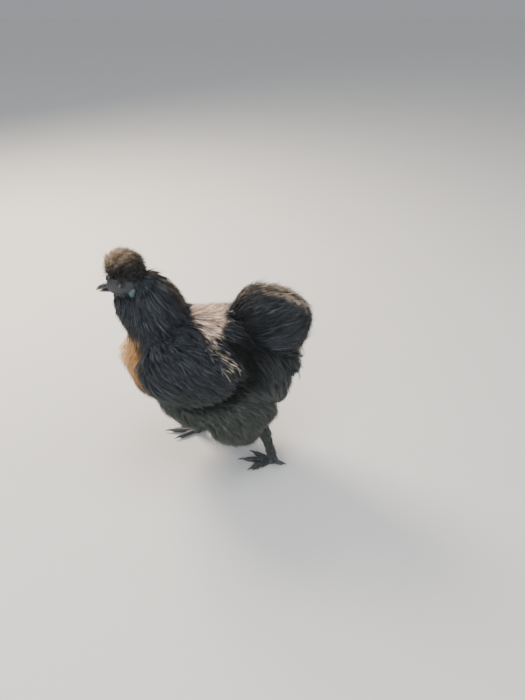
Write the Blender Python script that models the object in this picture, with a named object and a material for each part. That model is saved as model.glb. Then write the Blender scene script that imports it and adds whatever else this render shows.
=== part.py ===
"""A silkie hen standing alert, life size, parted into nodes along thin cuts.

Metres, +Z up, the head towards -Y and the hen's left at +X. The origin is on the floor, under the
middle of the whole hen. Run with: blender --background --python part.py
"""

import math
import random

import bmesh
import bpy
import numpy as np
from mathutils import Matrix, Vector
from mathutils.bvhtree import BVHTree

# Driving dimensions of the hen, in metres.
CLEAR = 0.0003  # the gap that touching pieces keep
BOX_SHIFT = Vector((0.0, 0.0, 0.0))  # brings the middle of the hen's box over the origin

TORSO_FRONT = -0.131
TORSO_LENGTH = 0.256

# The cuts that part the body: (y, z) of a point on each, and the rise of the cut towards the tail.
NECK_CUT = ((-0.0725, 0.2255), 29.0)
TAIL_CUT = ((0.085, 0.190), -50.0)
THIGH_CUT = ((0.020, 0.1370), 14.0)
CREST_CUT = ((-0.100, 0.3155), -6.0)
FACE_CUT = ((-0.0885, 0.2950), 60.0)
THROAT_CUT = ((-0.128, 0.2775), 15.3)
LEGS_APART = 0.0010
ACROSS = Vector((1, 0, 0))
UP = Vector((0, 0, 1))
SIDES = ((1, "left"), (-1, "right"))

# Depth of the coat from its outline in to the core of each part.
TORSO_COAT = 0.010
NECK_COAT = 0.010
TAIL_COAT = 0.024
WING_COAT = 0.006
THIGH_COAT = 0.010
CREST_COAT = 0.008
ROOT_DEPTH = 0.0035  # how far a lock's root is sunk into the core
LOCK_THICKNESS = 0.13  # of its width

WING_SHOULDER = Vector((0.0, -0.085, 0.202))
WING_DROOP = 15.0  # degrees that the wing falls towards its tip
WING_LEAN = 14.0  # degrees that its upper edge leans in over the back
WING_INNER = 0.0500  # its inner face from the middle, at the height below
WING_MIDDLE = 0.175
WING_OUTLINE = (  # along and across the wing, the front first
    (-0.008, -0.026),
    (-0.008, 0.026),
    (0.018, 0.048),
    (0.070, 0.048),
    (0.152, 0.017),
    (0.152, -0.017),
    (0.070, -0.048),
    (0.018, -0.048),
)

FOOT_SPREAD = 0.036  # each foot from the middle plane
LEFT_ANKLE_Y = 0.094  # the left foot is the hind one of the stride
RIGHT_ANKLE_Y = -0.030
SHANK_RADIUS = 0.0056
SHANK_LEAN = 0.012  # the left hock lies this far ahead of its foot, the right one as far behind
SHANK_TOP = 0.0840
SHANK_ROOM = 0.0095  # kept free of the thigh's locks on each side of the shank
SHANK_FEATHERS = 0.0080
SHANK_BARE_TOP = 0.0440  # the thigh's locks hang down to just above this
FOOT_TOP = 0.0150
TOE_RADIUS = 0.0046
TOES = (  # turn from straight ahead, length, radius as a share
    (-32.0, 0.034, 0.92),
    (-2.0, 0.044, 1.00),
    (30.0, 0.036, 0.94),
    (158.0, 0.021, 0.80),
)
FIFTH_TOE = (128.0, 0.022, 0.72)
FIFTH_TOE_RISE = 0.010

EYE_RADIUS = 0.0046
EYE_PLACE = Vector((0.0131, -0.1110, 0.3050))
LID_RADIUS = 0.0056
LID_THICKNESS = 0.0013
LOBE_PLACE = Vector((0.0170, -0.0958, 0.2950))
LOBE_SIZE = Vector((0.0032, 0.0042, 0.0064))
LOBE_LEAN = 28.0
WATTLE_PLACE = Vector((0.0066, -0.1215, 0.2850))
WATTLE_SIZE = Vector((0.0024, 0.0038, 0.0048))
NOSTRIL_PLACE = Vector((0.0046, -0.1330, 0.2995))
NOSTRIL_RADIUS = 0.0009
COMB_PLACE = Vector((0.0, -0.1275, 0.3095))
COMB_BULB = 0.0036
CHIN_ROOM = ((-0.012, -0.130, 0.276), (0.012, -0.113, 0.295))  # kept free for the wattles

# Name, colour and roughness of each finish; none of them is a metal.
PLUMAGE = ("plumage", (0.030, 0.030, 0.034), 0.85)
CREST_PLUMAGE = ("crest_plumage", (0.085, 0.060, 0.045), 0.85)
FACE_SKIN = ("face_skin", (0.045, 0.035, 0.045), 0.60)
LOBE_SKIN = ("lobe_skin", (0.20, 0.46, 0.45), 0.55)
HORN = ("horn", (0.060, 0.058, 0.062), 0.40)
LEG_SKIN = ("leg_skin", (0.050, 0.052, 0.060), 0.65)
EYE_GLOSS = ("eye", (0.020, 0.010, 0.008), 0.10)


# Scene and mesh helpers


def clear_scene():
    for obj in list(bpy.data.objects):
        bpy.data.objects.remove(obj)


def collection_named(name):
    found = bpy.data.collections.get(name)
    if found is None:
        found = bpy.data.collections.new(name)
        bpy.context.scene.collection.children.link(found)
    return found


def material_of(finish):
    name, colour, roughness = finish
    made = bpy.data.materials.get(name)
    if made is None:
        made = bpy.data.materials.new(name)
        made.use_nodes = True
        shader = made.node_tree.nodes["Principled BSDF"]
        shader.inputs["Base Color"].default_value = (*colour, 1.0)
        shader.inputs["Roughness"].default_value = roughness
        shader.inputs["Metallic"].default_value = 0.0
        made.diffuse_color = (*colour, 1.0)
    return made


def object_from(name, mesh):
    obj = bpy.data.objects.new(name, mesh)
    collection_named("silkie_hen").objects.link(obj)
    return obj


def mesh_object(name, vertices, faces):
    mesh = bpy.data.meshes.new(name)
    mesh.from_pydata([tuple(v) for v in vertices], [], faces)
    work = bmesh.new()
    work.from_mesh(mesh)
    bmesh.ops.recalc_face_normals(work, faces=work.faces)
    work.to_mesh(mesh)
    work.free()
    return object_from(name, mesh)


def keep_largest_shell(mesh):
    work = bmesh.new()
    work.from_mesh(mesh)
    bmesh.ops.remove_doubles(work, verts=work.verts, dist=1e-6)
    left = set(work.verts)
    shells = []
    while left:
        start = left.pop()
        shell, frontier = [start], [start]
        while frontier:
            vertex = frontier.pop()
            for edge in vertex.link_edges:
                other = edge.other_vert(vertex)
                if other in left:
                    left.discard(other)
                    shell.append(other)
                    frontier.append(other)
        shells.append(shell)
    shells.sort(key=len)
    for shell in shells[:-1]:
        bmesh.ops.delete(work, geom=shell, context="VERTS")
    bmesh.ops.triangulate(work, faces=work.faces)
    work.to_mesh(mesh)
    work.free()


def combine(obj, others, operation):
    """Applies one Boolean between obj and closed meshes, and removes these."""
    operands = bpy.data.collections.new("operands")
    bpy.context.scene.collection.children.link(operands)
    for other in others:
        operands.objects.link(other)
    modifier = obj.modifiers.new("combine", "BOOLEAN")
    modifier.operation = operation
    modifier.operand_type = "COLLECTION"
    modifier.collection = operands
    modifier.solver = "MANIFOLD"
    graph = bpy.context.evaluated_depsgraph_get()
    mesh = bpy.data.meshes.new_from_object(obj.evaluated_get(graph))
    obj.modifiers.remove(modifier)
    obj.data = mesh
    for other in others:
        bpy.data.objects.remove(other)
    bpy.data.collections.remove(operands)
    keep_largest_shell(mesh)
    return obj


def shifted_copy(obj, name, growth):
    """A copy whose surface stands growth outside the original's."""
    copy = object_from(name, obj.data.copy())
    work = bmesh.new()
    work.from_mesh(copy.data)
    bmesh.ops.recalc_face_normals(work, faces=work.faces)
    work.normal_update()
    moves = [(vertex, vertex.normal * growth * vertex.calc_shell_factor()) for vertex in work.verts]
    for vertex, move in moves:
        vertex.co += move
    work.to_mesh(copy.data)
    work.free()
    return copy


def cut_clear(obj, *neighbours):
    """Cuts obj so that it meets its smooth neighbours face to face."""
    cutters = [shifted_copy(n, n.name + "_cutter", CLEAR) for n in neighbours]
    return combine(obj, cutters, "DIFFERENCE")


# Convex regions, each a list of (point, outward normal) planes


def plane_rising(cut, side):
    """A cut across the body as a plane; side 1 keeps what is below it, and -1 what is above."""
    (y, z), rise = cut
    turn = math.radians(rise)
    return Vector((0, y, z)), Vector((0, -math.sin(turn), math.cos(turn))) * side


def wing_across(side):
    """The direction of a wing's thickness, towards the hen's left."""
    lean = math.radians(WING_LEAN)
    return Vector((math.cos(lean), 0, side * math.sin(lean)))


def wing_region(side):
    turn = math.radians(-WING_DROOP)
    along = Vector((0, math.cos(turn), math.sin(turn)))
    across = Vector((0, -math.sin(turn), math.cos(turn)))
    corners = [WING_SHOULDER + along * a + across * b for a, b in WING_OUTLINE]
    planes = [(Vector((side * WING_INNER, 0, WING_MIDDLE)), -side * wing_across(side))]
    for corner, after in zip(corners, corners[1:] + corners[:1]):
        edge = (after - corner).normalized()
        planes.append((corner, Vector((0, -edge.z, edge.y))))
    return planes + [plane_rising(NECK_CUT, 1), plane_rising(THIGH_CUT, -1)]


REGIONS = {
    "crest": [plane_rising(CREST_CUT, -1)],
    "head": [plane_rising(CREST_CUT, 1), plane_rising(FACE_CUT, -1), plane_rising(THROAT_CUT, -1)],
    "neck": [plane_rising(NECK_CUT, -1), plane_rising(CREST_CUT, 1)],
    "torso": [plane_rising(NECK_CUT, 1), plane_rising(TAIL_CUT, 1), plane_rising(THIGH_CUT, -1)],
    "tail": [plane_rising(TAIL_CUT, -1)],
    "wing_left": wing_region(1),
    "wing_right": wing_region(-1),
}
for region_side, region_name in ((1, "thigh_left"), (-1, "thigh_right")):
    REGIONS[region_name] = [
        plane_rising(THIGH_CUT, 1),
        plane_rising(TAIL_CUT, 1),
        (Vector((region_side * LEGS_APART / 2, 0, 0)), Vector((-region_side, 0, 0))),
    ]


def keep_inside(obj, region):
    """Slices obj with each plane of a convex region, half the gap inside it, and closes the cut."""
    work = bmesh.new()
    work.from_mesh(obj.data)
    for point, normal in region:
        bmesh.ops.bisect_plane(
            work,
            geom=work.verts[:] + work.edges[:] + work.faces[:],
            plane_co=point - normal * CLEAR / 2,
            plane_no=normal,
            clear_outer=True,
            dist=1e-7,
        )
        rim = [edge for edge in work.edges if edge.is_boundary]
        if rim:
            bmesh.ops.holes_fill(work, edges=rim, sides=0)
    bmesh.ops.triangulate(work, faces=work.faces)
    bmesh.ops.recalc_face_normals(work, faces=work.faces)
    work.to_mesh(obj.data)
    work.free()
    return obj


def region_solid(name, region):
    """The region itself as a closed mesh, half the gap inside its planes."""
    bpy.ops.mesh.primitive_cube_add(size=1.0)
    block = bpy.context.object
    block.name = name
    return keep_inside(block, region)


# Lofted forms


def curve_through(rows, along):
    """Catmull-Rom curve through rows of numbers; along runs from 0 to 1."""
    place = min(max(along, 0.0), 1.0) * (len(rows) - 1)
    i = min(int(place), len(rows) - 2)
    t = place - i
    before, start = rows[max(i - 1, 0)], rows[i]
    end, after = rows[i + 1], rows[min(i + 2, len(rows) - 1)]
    return 0.5 * (
        2 * start
        + (end - before) * t
        + (2 * before - 5 * start + 4 * end - after) * t * t
        + (3 * start - before - 3 * end + after) * t**3
    )


def section(stations, along, sides, heading=None, across=ACROSS):
    """The ring of points at a place from 0 to 1 along a lofted form.

    Stations are (x, y, z, half width, half depth). Widths run across and depths square to the path,
    or to the heading where one is given. Squared sizes are blended, so that an end station of no
    size gives a round end.
    """
    rows = np.array([(x, y, z, w * w, d * d) for x, y, z, w, d in stations])
    row = curve_through(rows, along)
    ahead = Vector(curve_through(rows, along + 0.02)[:3])
    behind = Vector(curve_through(rows, along - 0.02)[:3])
    upward = across.cross(heading or ahead - behind).normalized()
    half_width, half_depth = (math.sqrt(max(size, 1e-8)) for size in row[3:])
    turns = (2 * math.pi * j / sides for j in range(sides))
    return [
        Vector(row[:3]) + across * half_width * math.sin(turn) + upward * half_depth * math.cos(turn)
        for turn in turns
    ]


def loft(name, stations, rings, sides, inset=0.0, heading=None, across=ACROSS):
    """A closed form through stations; the inset draws its surface in along its normals."""
    vertices = [Vector(stations[0][:3])]
    for i in range(1, rings):
        along = 0.5 - 0.5 * math.cos(math.pi * i / rings)
        vertices += section(stations, along, sides, heading, across)
    vertices.append(Vector(stations[-1][:3]))
    faces = []
    last = len(vertices) - 1
    for j in range(sides):
        k = (j + 1) % sides
        faces.append((0, 1 + j, 1 + k))
        faces.append((last, last - sides + k, last - sides + j))
        for i in range(rings - 2):
            a, b = 1 + i * sides, 1 + (i + 1) * sides
            faces.append((a + j, b + j, b + k, a + k))
    obj = mesh_object(name, vertices, faces)
    if inset:
        drawn_in = shifted_copy(obj, name, -inset)
        bpy.data.objects.remove(obj)
        drawn_in.name = name
        return drawn_in
    return obj


def ball(name, place, size, segments=12, rings=8, turn=None):
    """An ellipsoid of the given half sizes, turned by a matrix about its middle."""
    mesh = bpy.data.meshes.new(name)
    work = bmesh.new()
    bmesh.ops.create_uvsphere(work, u_segments=segments, v_segments=rings, radius=1.0)
    shape = Matrix.Diagonal((*size, 1.0))
    if turn is not None:
        shape = turn.to_4x4() @ shape
    bmesh.ops.transform(work, matrix=Matrix.Translation(place) @ shape, verts=work.verts)
    work.to_mesh(mesh)
    work.free()
    return object_from(name, mesh)


# Outlines of the body out to the tips of the coat: x, y, z, half width, half depth


def torso_outline():
    profile = (  # share of the length, top, bottom, half width
        (0.00, 0.178, 0.178, 0.000),
        (0.06, 0.213, 0.143, 0.042),
        (0.16, 0.237, 0.117, 0.060),
        (0.30, 0.251, 0.098, 0.070),
        (0.46, 0.255, 0.082, 0.073),
        (0.62, 0.253, 0.070, 0.073),
        (0.76, 0.240, 0.066, 0.068),
        (0.88, 0.208, 0.078, 0.056),
        (0.96, 0.170, 0.098, 0.038),
        (1.00, 0.132, 0.132, 0.000),
    )
    return [
        (0.0, TORSO_FRONT + share * TORSO_LENGTH, (top + bottom) / 2, width, (top - bottom) / 2)
        for share, top, bottom, width in profile
    ]


def neck_outline():
    levels = (  # height, front, back, half width
        (0.168, -0.060, -0.060, 0.000),
        (0.190, -0.112, -0.004, 0.054),
        (0.215, -0.121, -0.006, 0.056),
        (0.240, -0.125, -0.016, 0.053),
        (0.262, -0.127, -0.025, 0.046),
        (0.282, -0.118, -0.034, 0.037),
        (0.300, -0.100, -0.044, 0.029),
        (0.315, -0.092, -0.060, 0.019),
        (0.324, -0.078, -0.078, 0.000),
    )
    return [(0.0, (front + back) / 2, z, width, (back - front) / 2) for z, front, back, width in levels]


def tail_outline():
    return [
        (0.0, 0.038, 0.176, 0.000, 0.000),
        (0.0, 0.053, 0.192, 0.043, 0.053),
        (0.0, 0.075, 0.213, 0.053, 0.070),
        (0.0, 0.097, 0.235, 0.055, 0.066),
        (0.0, 0.119, 0.259, 0.044, 0.051),
        (0.0, 0.138, 0.279, 0.000, 0.000),
    ]


def tail_core():
    """The stump under the tail's strands, less than half way to their tips."""
    return [
        (0.0, 0.038, 0.176, 0.000, 0.000),
        (0.0, 0.053, 0.192, 0.036, 0.044),
        (0.0, 0.072, 0.210, 0.036, 0.045),
        (0.0, 0.091, 0.229, 0.029, 0.036),
        (0.0, 0.109, 0.248, 0.000, 0.000),
    ]


def wing_outline(side):
    droop = math.tan(math.radians(WING_DROOP))
    spans = (  # along the wing, distance from the middle plane, half width, half depth
        (-0.006, 0.054, 0.000, 0.000),
        (0.010, 0.058, 0.020, 0.034),
        (0.042, 0.060, 0.023, 0.045),
        (0.080, 0.061, 0.021, 0.042),
        (0.116, 0.061, 0.016, 0.030),
        (0.150, 0.060, 0.000, 0.000),
    )
    return [
        (side * out, WING_SHOULDER.y + along, WING_SHOULDER.z - along * droop, width, depth)
        for along, out, width, depth in spans
    ]


def left_thigh_outline():
    return [
        (0.034, 0.040, 0.152, 0.000, 0.000),
        (0.038, 0.042, 0.125, 0.034, 0.052),
        (0.038, 0.048, 0.099, 0.036, 0.055),
        (0.037, 0.054, 0.077, 0.031, 0.044),
        (0.036, 0.063, 0.060, 0.022, 0.031),
        (0.036, 0.073, 0.047, 0.000, 0.000),
    ]


def right_thigh_outline():
    return [
        (-0.034, 0.024, 0.152, 0.000, 0.000),
        (-0.038, 0.020, 0.125, 0.034, 0.052),
        (-0.038, 0.012, 0.099, 0.036, 0.052),
        (-0.037, 0.003, 0.077, 0.030, 0.041),
        (-0.036, -0.007, 0.059, 0.021, 0.026),
        (-0.036, -0.017, 0.045, 0.000, 0.000),
    ]


def crest_outline():
    return [
        (0.0, -0.1310, 0.3240, 0.000, 0.0000),
        (0.0, -0.1240, 0.3255, 0.024, 0.0180),
        (0.0, -0.1110, 0.3280, 0.032, 0.0220),
        (0.0, -0.0960, 0.3275, 0.031, 0.0215),
        (0.0, -0.0840, 0.3230, 0.022, 0.0150),
        (0.0, -0.0750, 0.3160, 0.000, 0.0000),
    ]


def head_outline():
    return [
        (0.0, -0.1335, 0.2965, 0.0000, 0.0000),
        (0.0, -0.1300, 0.2970, 0.0088, 0.0100),
        (0.0, -0.1215, 0.2985, 0.0132, 0.0155),
        (0.0, -0.1100, 0.3005, 0.0162, 0.0190),
        (0.0, -0.0940, 0.3010, 0.0170, 0.0180),
        (0.0, -0.0700, 0.2990, 0.0000, 0.0000),
    ]


def upper_bill_outline():
    return [
        (0.0, -0.1210, 0.2985, 0.0000, 0.0000),
        (0.0, -0.1270, 0.2985, 0.0066, 0.0047),
        (0.0, -0.1345, 0.2974, 0.0054, 0.0041),
        (0.0, -0.1420, 0.2950, 0.0035, 0.0032),
        (0.0, -0.1470, 0.2922, 0.0018, 0.0021),
        (0.0, -0.1492, 0.2896, 0.0000, 0.0000),
    ]


def lower_bill_outline():
    return [
        (0.0, -0.1210, 0.2908, 0.0000, 0.0000),
        (0.0, -0.1270, 0.2905, 0.0058, 0.0026),
        (0.0, -0.1340, 0.2896, 0.0046, 0.0023),
        (0.0, -0.1405, 0.2884, 0.0028, 0.0017),
        (0.0, -0.1448, 0.2876, 0.0000, 0.0000),
    ]


# Locks of the coat


class Form:
    """A part's outline and core: the core carries the locks, and their tips lie on the outline."""

    def __init__(self, name, stations, rings, sides, coat, heading=None, across=ACROSS, core=None):
        self.name = name
        self.stations = stations
        self.frame = (heading, across)
        outline = loft(name + "_outline", stations, 2 * rings, 2 * sides, 0.0, *self.frame)
        self.outline_tree = tree_of(outline)
        bpy.data.objects.remove(outline)
        if core is None:
            self.core = loft(name, stations, rings, sides, coat, *self.frame)
        else:
            self.stations = core
            self.core = loft(name, core, rings, sides, 0.0, *self.frame)
        self.core_tree = tree_of(self.core)

    def roots(self, tiers, spacing, draw):
        """Points on the core, tier by tier along it, each tier's set between those of the last."""
        for tier, along in enumerate(tiers):
            ring = section(self.stations, along, 48, *self.frame)
            lengths = [0.0]
            for a, b in zip(ring, ring[1:] + ring[:1]):
                lengths.append(lengths[-1] + (b - a).length)
            count = max(3, round(lengths[-1] / spacing))
            for i in range(count):
                reach = (i + 0.5 * (tier % 2) + draw.uniform(-0.12, 0.12)) / count % 1.0
                k = next(n for n in range(1, 49) if lengths[n] >= reach * lengths[-1]) - 1
                place, normal, _, _ = self.core_tree.find_nearest(ring[k])
                if place is not None:
                    yield place, normal


def tree_of(obj):
    work = bmesh.new()
    work.from_mesh(obj.data)
    tree = BVHTree.FromBMesh(work)
    work.free()
    return tree


def lock_mesh(start, control, tip, root_normal, tip_normal, width):
    """Points and triangles of a flat, tapered, three-sided lock along a bending path."""
    points = []
    for along, share in ((0.0, 0.70), (0.32, 1.0), (0.66, 0.72)):
        centre = start * (1 - along) ** 2 + control * (2 * along * (1 - along)) + tip * along**2
        tangent = ((control - start) * (1 - along) + (tip - control) * along).normalized()
        half = root_normal.lerp(tip_normal, along).cross(tangent).normalized() * width * share / 2
        ridge = tangent.cross(half).normalized() * width * share * LOCK_THICKNESS
        points += [centre - half, centre + half, centre + ridge]
    points.append(tip)
    faces = [(0, 1, 2)]
    for low in (0, 3):
        for a, b in ((0, 1), (1, 2), (2, 0)):
            faces += [(low + a, low + b, low + 3 + b), (low + a, low + 3 + b, low + 3 + a)]
    return points, faces + [(6, 7, 9), (7, 8, 9), (8, 6, 9)]


def fits(points, region, obstacles):
    """Whether a lock keeps to its own convex region and clear of others."""
    inside = all((p - point).dot(normal) < -CLEAR for p in points for point, normal in region)
    return inside and all(
        any(all((p - point).dot(normal) > CLEAR for p in points) for point, normal in obstacle)
        for obstacle in obstacles
    )


def grow_locks(form, coat, region, obstacles=(), where=None):
    """Locks over a form's core along its lie, each shortened or left out where it has no room."""
    draw = random.Random(coat["seed"])
    locks = []
    for root, normal in form.roots(coat["tiers"], coat["spacing"], draw):
        twist = Matrix.Rotation(math.radians(draw.uniform(-11, 11)), 3, normal)
        reach = coat["length"] * draw.uniform(0.85, 1.15)
        width = coat["width"] * draw.uniform(0.88, 1.12)
        if where is not None and not where(root):
            continue
        along = coat["lie"](root)
        along = twist @ (along - normal * along.dot(normal)).normalized()
        for share in (1.0, 0.8, 0.64, 0.5, 0.4):
            if "fan_from" in coat:
                spread = twist @ (root - coat["fan_from"]).normalized()
                gap = form.outline_tree.ray_cast(root, spread)[3] * share
                bent = (spread + coat["droop"]).normalized()
                tip, tip_normal, _, _ = form.outline_tree.ray_cast(root, bent)
                tip = root.lerp(tip, share * draw.uniform(0.93, 1.0))
                control = root + (spread * 0.55 + normal * 0.15) * gap
            else:
                aim = root + (along + normal * 0.4) * reach * share
                tip, tip_normal, _, _ = form.outline_tree.find_nearest(aim)
                height = (tip - root).dot(normal)
                control = root + along * reach * share * 0.40 + normal * height * coat["rise"]
            start = root - normal * ROOT_DEPTH
            points, faces = lock_mesh(start, control, tip, normal, tip_normal, width * share**0.3)
            if fits(points, region, obstacles):
                locks.append(mesh_object(f"{form.name}_lock_{len(locks)}", points, faces))
                break
    print(f"{form.name}: {len(locks)} locks")
    return locks


def outside(form, root):
    """Whether a point is clear of a form's core, for roots that another form would bury."""
    place, normal, _, _ = form.core_tree.find_nearest(root)
    return (root - place).dot(normal) > -0.001



# The nodes


def grown_region(region):
    """The same region with its planes moved out by the whole gap."""
    return [(point + normal * CLEAR, normal) for point, normal in region]


def box_region(low, high):
    corners = ((Vector(low), -1), (Vector(high), 1))
    axes = (Vector((1, 0, 0)), Vector((0, 1, 0)), Vector((0, 0, 1)))
    return [(corner, axis * sign) for corner, sign in corners for axis in axes]


def finish_node(obj, finish):
    obj.data.materials.clear()
    obj.data.materials.append(material_of(finish))
    obj.data.shade_smooth()
    obj.data.set_sharp_from_angle(angle=math.radians(40))
    return obj


def torso_lie(root):
    """Down over the breast, back along the sides, and outwards and down about the tail."""
    breast = max(0.0, -0.06 - root.y)
    rump = min(1.0, max(0.0, (root.y + 0.015) / 0.05))
    return Vector((rump * 1.6 * root.x / 0.05, 1.0 - 0.45 * rump, -0.35 - 9.0 * breast - rump))


TORSO_LOCKS = {
    "tiers": (0.03, 0.10, 0.17, 0.24, 0.32, 0.39, 0.46, 0.53, 0.60, 0.67, 0.74, 0.82),
    "spacing": 0.024,
    "length": 0.042,
    "width": 0.022,
    "rise": 0.6,
    "lie": torso_lie,
    "seed": 3,
}
BELLY_LOCKS = TORSO_LOCKS | {
    "tiers": (0.14, 0.25, 0.36, 0.47, 0.58, 0.69, 0.80, 0.90),
    "spacing": 0.025,
    "length": 0.036,
    "lie": lambda root: Vector((0.5 * root.x / 0.04, 1.0, -0.8)),
    "seed": 13,
}
NECK_LOCKS = {
    "tiers": (0.28, 0.39, 0.50, 0.61, 0.72, 0.83),
    "spacing": 0.025,
    "length": 0.042,
    "width": 0.021,
    "rise": 0.6,
    "lie": lambda root: Vector((0.15 * root.x / 0.04, 0.25, -1.0)),
    "seed": 5,
}
TAIL_LOCKS = {
    "tiers": (0.30, 0.44, 0.58, 0.72, 0.86, 0.97),
    "spacing": 0.023,
    "length": 0.060,
    "width": 0.027,
    "lie": lambda root: Vector((0.0, 1.0, 0.5)),
    "fan_from": Vector((0.0, 0.045, 0.186)),
    "droop": Vector((0.0, 0.12, -0.26)),
    "seed": 7,
}
WING_LOCKS = {
    "tiers": (0.08, 0.25, 0.42, 0.59, 0.76, 0.92),
    "spacing": 0.022,
    "length": 0.048,
    "width": 0.020,
    "rise": 0.5,
    "lie": lambda root: Vector((0.0, 1.0, -0.55)),
    "seed": 19,
}
THIGH_LOCKS = {
    "tiers": (0.20, 0.36, 0.52, 0.68, 0.85),
    "spacing": 0.030,
    "length": 0.036,
    "width": 0.022,
    "rise": 0.55,
    "lie": lambda root: Vector((0.0, 0.35, -1.0)),
    "seed": 11,
}
SHANK_LOCKS = {
    "tiers": (0.36, 0.46),
    "spacing": 0.012,
    "length": 0.022,
    "width": 0.012,
    "rise": 0.5,
    "lie": lambda root: Vector((0.0, 0.1, -1.0)),
    "seed": 17,
}
CREST_LOCKS = {
    "tiers": (0.06, 0.24, 0.42, 0.60, 0.78),
    "spacing": 0.0190,
    "length": 0.022,
    "width": 0.014,
    "rise": 0.8,
    "lie": lambda root: root - Vector((0.0, -0.122, 0.330)) + Vector((0.0, 0.012, 0.0)),
    "seed": 15,
}


def build_torso():
    form = Form("torso", torso_outline(), 12, 16, TORSO_COAT)
    wings = [REGIONS["wing_left"], REGIONS["wing_right"]]
    locks = grow_locks(form, TORSO_LOCKS, REGIONS["torso"], wings)
    keep_inside(form.core, REGIONS["torso"])
    pockets = [region_solid("pocket", grown_region(region)) for region in wings]
    combine(form.core, pockets, "DIFFERENCE")
    return combine(form.core, locks, "UNION")


def build_neck():
    form = Form("neck", neck_outline(), 12, 14, NECK_COAT, UP)
    locks = grow_locks(form, NECK_LOCKS, REGIONS["neck"], [REGIONS["head"], box_region(*CHIN_ROOM)])
    keep_inside(form.core, REGIONS["neck"])
    combine(form.core, [region_solid("face_pocket", grown_region(REGIONS["head"]))], "DIFFERENCE")
    return combine(form.core, locks, "UNION")


def build_tail():
    form = Form("tail", tail_outline(), 10, 14, TAIL_COAT, core=tail_core())
    locks = grow_locks(form, TAIL_LOCKS, REGIONS["tail"])
    keep_inside(form.core, REGIONS["tail"])
    return combine(form.core, locks, "UNION")


def build_wing(name, side):
    form = Form(name, wing_outline(side), 9, 10, WING_COAT, None, wing_across(side))
    locks = grow_locks(form, WING_LOCKS, REGIONS[name])
    keep_inside(form.core, REGIONS[name])
    return combine(form.core, locks, "UNION")


def build_thigh(name, outline, shank_box):
    """The thigh with its locks, and the bare leg core that the shank meets."""
    leg = Form(name, outline, 8, 12, THIGH_COAT)
    belly = Form(name + "_belly", torso_outline(), 10, 14, TORSO_COAT)
    locks = grow_locks(leg, THIGH_LOCKS, REGIONS[name], [shank_box], lambda root: outside(belly, root))
    locks += grow_locks(
        belly, BELLY_LOCKS, REGIONS[name], [shank_box], lambda root: outside(leg, root)
    )
    bare_leg = shifted_copy(leg.core, name + "_bare", 0.0)
    thigh = combine(leg.core, [belly.core], "UNION")
    keep_inside(thigh, REGIONS[name])
    return combine(thigh, locks, "UNION"), bare_leg


def build_crest():
    form = Form("crest", crest_outline(), 8, 12, CREST_COAT)
    locks = grow_locks(form, CREST_LOCKS, REGIONS["crest"])
    keep_inside(form.core, REGIONS["crest"])
    return combine(form.core, locks, "UNION")


def build_head(eyes, bills):
    head = loft("head", head_outline(), 10, 14)
    lids = []
    for side in (1, -1):
        bpy.ops.mesh.primitive_torus_add(
            location=(side * EYE_PLACE.x, EYE_PLACE.y, EYE_PLACE.z),
            rotation=(0, math.radians(90), math.radians(-side * 14)),
            major_radius=LID_RADIUS,
            minor_radius=LID_THICKNESS,
            major_segments=12,
            minor_segments=5,
        )
        lids.append(bpy.context.object)
    combine(head, lids, "UNION")
    keep_inside(head, REGIONS["head"])
    return cut_clear(head, *eyes, *bills)


def build_bill(name, outline):
    bill = loft(name, outline, 10, 10)
    if name == "bill_upper":
        size = (NOSTRIL_RADIUS, 1.8 * NOSTRIL_RADIUS, NOSTRIL_RADIUS)
        places = [Vector((side * NOSTRIL_PLACE.x, *NOSTRIL_PLACE.yz)) for side in (-1, 1)]
        combine(bill, [ball("pit", place, size, 8, 6) for place in places], "DIFFERENCE")
    return bill


def build_comb(skull):
    comb = ball("comb", COMB_PLACE, Vector((1.2, 1.2, 0.9)) * COMB_BULB, 8, 5)
    bulbs = []
    for i in range(5):
        turn = 2 * math.pi * i / 5
        place = COMB_PLACE + Vector((math.cos(turn), math.sin(turn), 0.0)) * COMB_BULB
        bulbs.append(ball(f"bulb_{i}", place, Vector((0.62, 0.62, 0.8)) * COMB_BULB, 7, 5))
    combine(comb, bulbs, "UNION")
    return cut_clear(comb, skull)


def build_foot(name, side, ankle_y):
    foot = ball(name, Vector((0, 0, TOE_RADIUS)), (0.0085, 0.0095, 0.0055), 10, 5)
    stub = (
        (0.0, 0.0, 0.002, 0.0050, 0.0055),
        (0.0, 0.0, 0.010, 0.0060, 0.0064),
        (0.0, 0.0, 0.020, 0.0058, 0.0060),
    )
    parts = [loft("stub", stub, 3, 8)]
    for turn, length, share in TOES + (FIFTH_TOE,):
        radius = TOE_RADIUS * share
        rise = FIFTH_TOE_RISE if turn == FIFTH_TOE[0] else 0.0
        level = radius * 0.82 + rise
        joints = (  # share of the length, height, share of the radius
            (0.00, TOE_RADIUS + rise * 0.5, 0.00),
            (0.20, level, 1.00),
            (0.45, level, 0.88),
            (0.70, level, 0.92),
            (0.90, level + 0.0004, 0.62),
            (1.08, level + 0.0010, 0.32),
            (1.24, level - 0.0006, 0.00),
        )
        path = [(0.0, -along * length, z, wide * radius, wide * radius) for along, z, wide in joints]
        toe = loft("toe", path, 6, 6)
        toe.data.transform(Matrix.Rotation(math.radians(side * turn), 4, "Z"))
        parts.append(toe)
    combine(foot, parts, "UNION")
    foot.data.transform(Matrix.Translation((side * FOOT_SPREAD, ankle_y, 0)))
    floor = (Vector((0, 0, -CLEAR / 2)), Vector((0, 0, -1)))
    ankle = (Vector((0, 0, FOOT_TOP)), Vector((0, 0, 1)))
    return keep_inside(foot, [floor, ankle])


def shank_lean(side):
    """How far the shank's top lies ahead of its foot."""
    return SHANK_LEAN if side > 0 else -SHANK_LEAN


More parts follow.
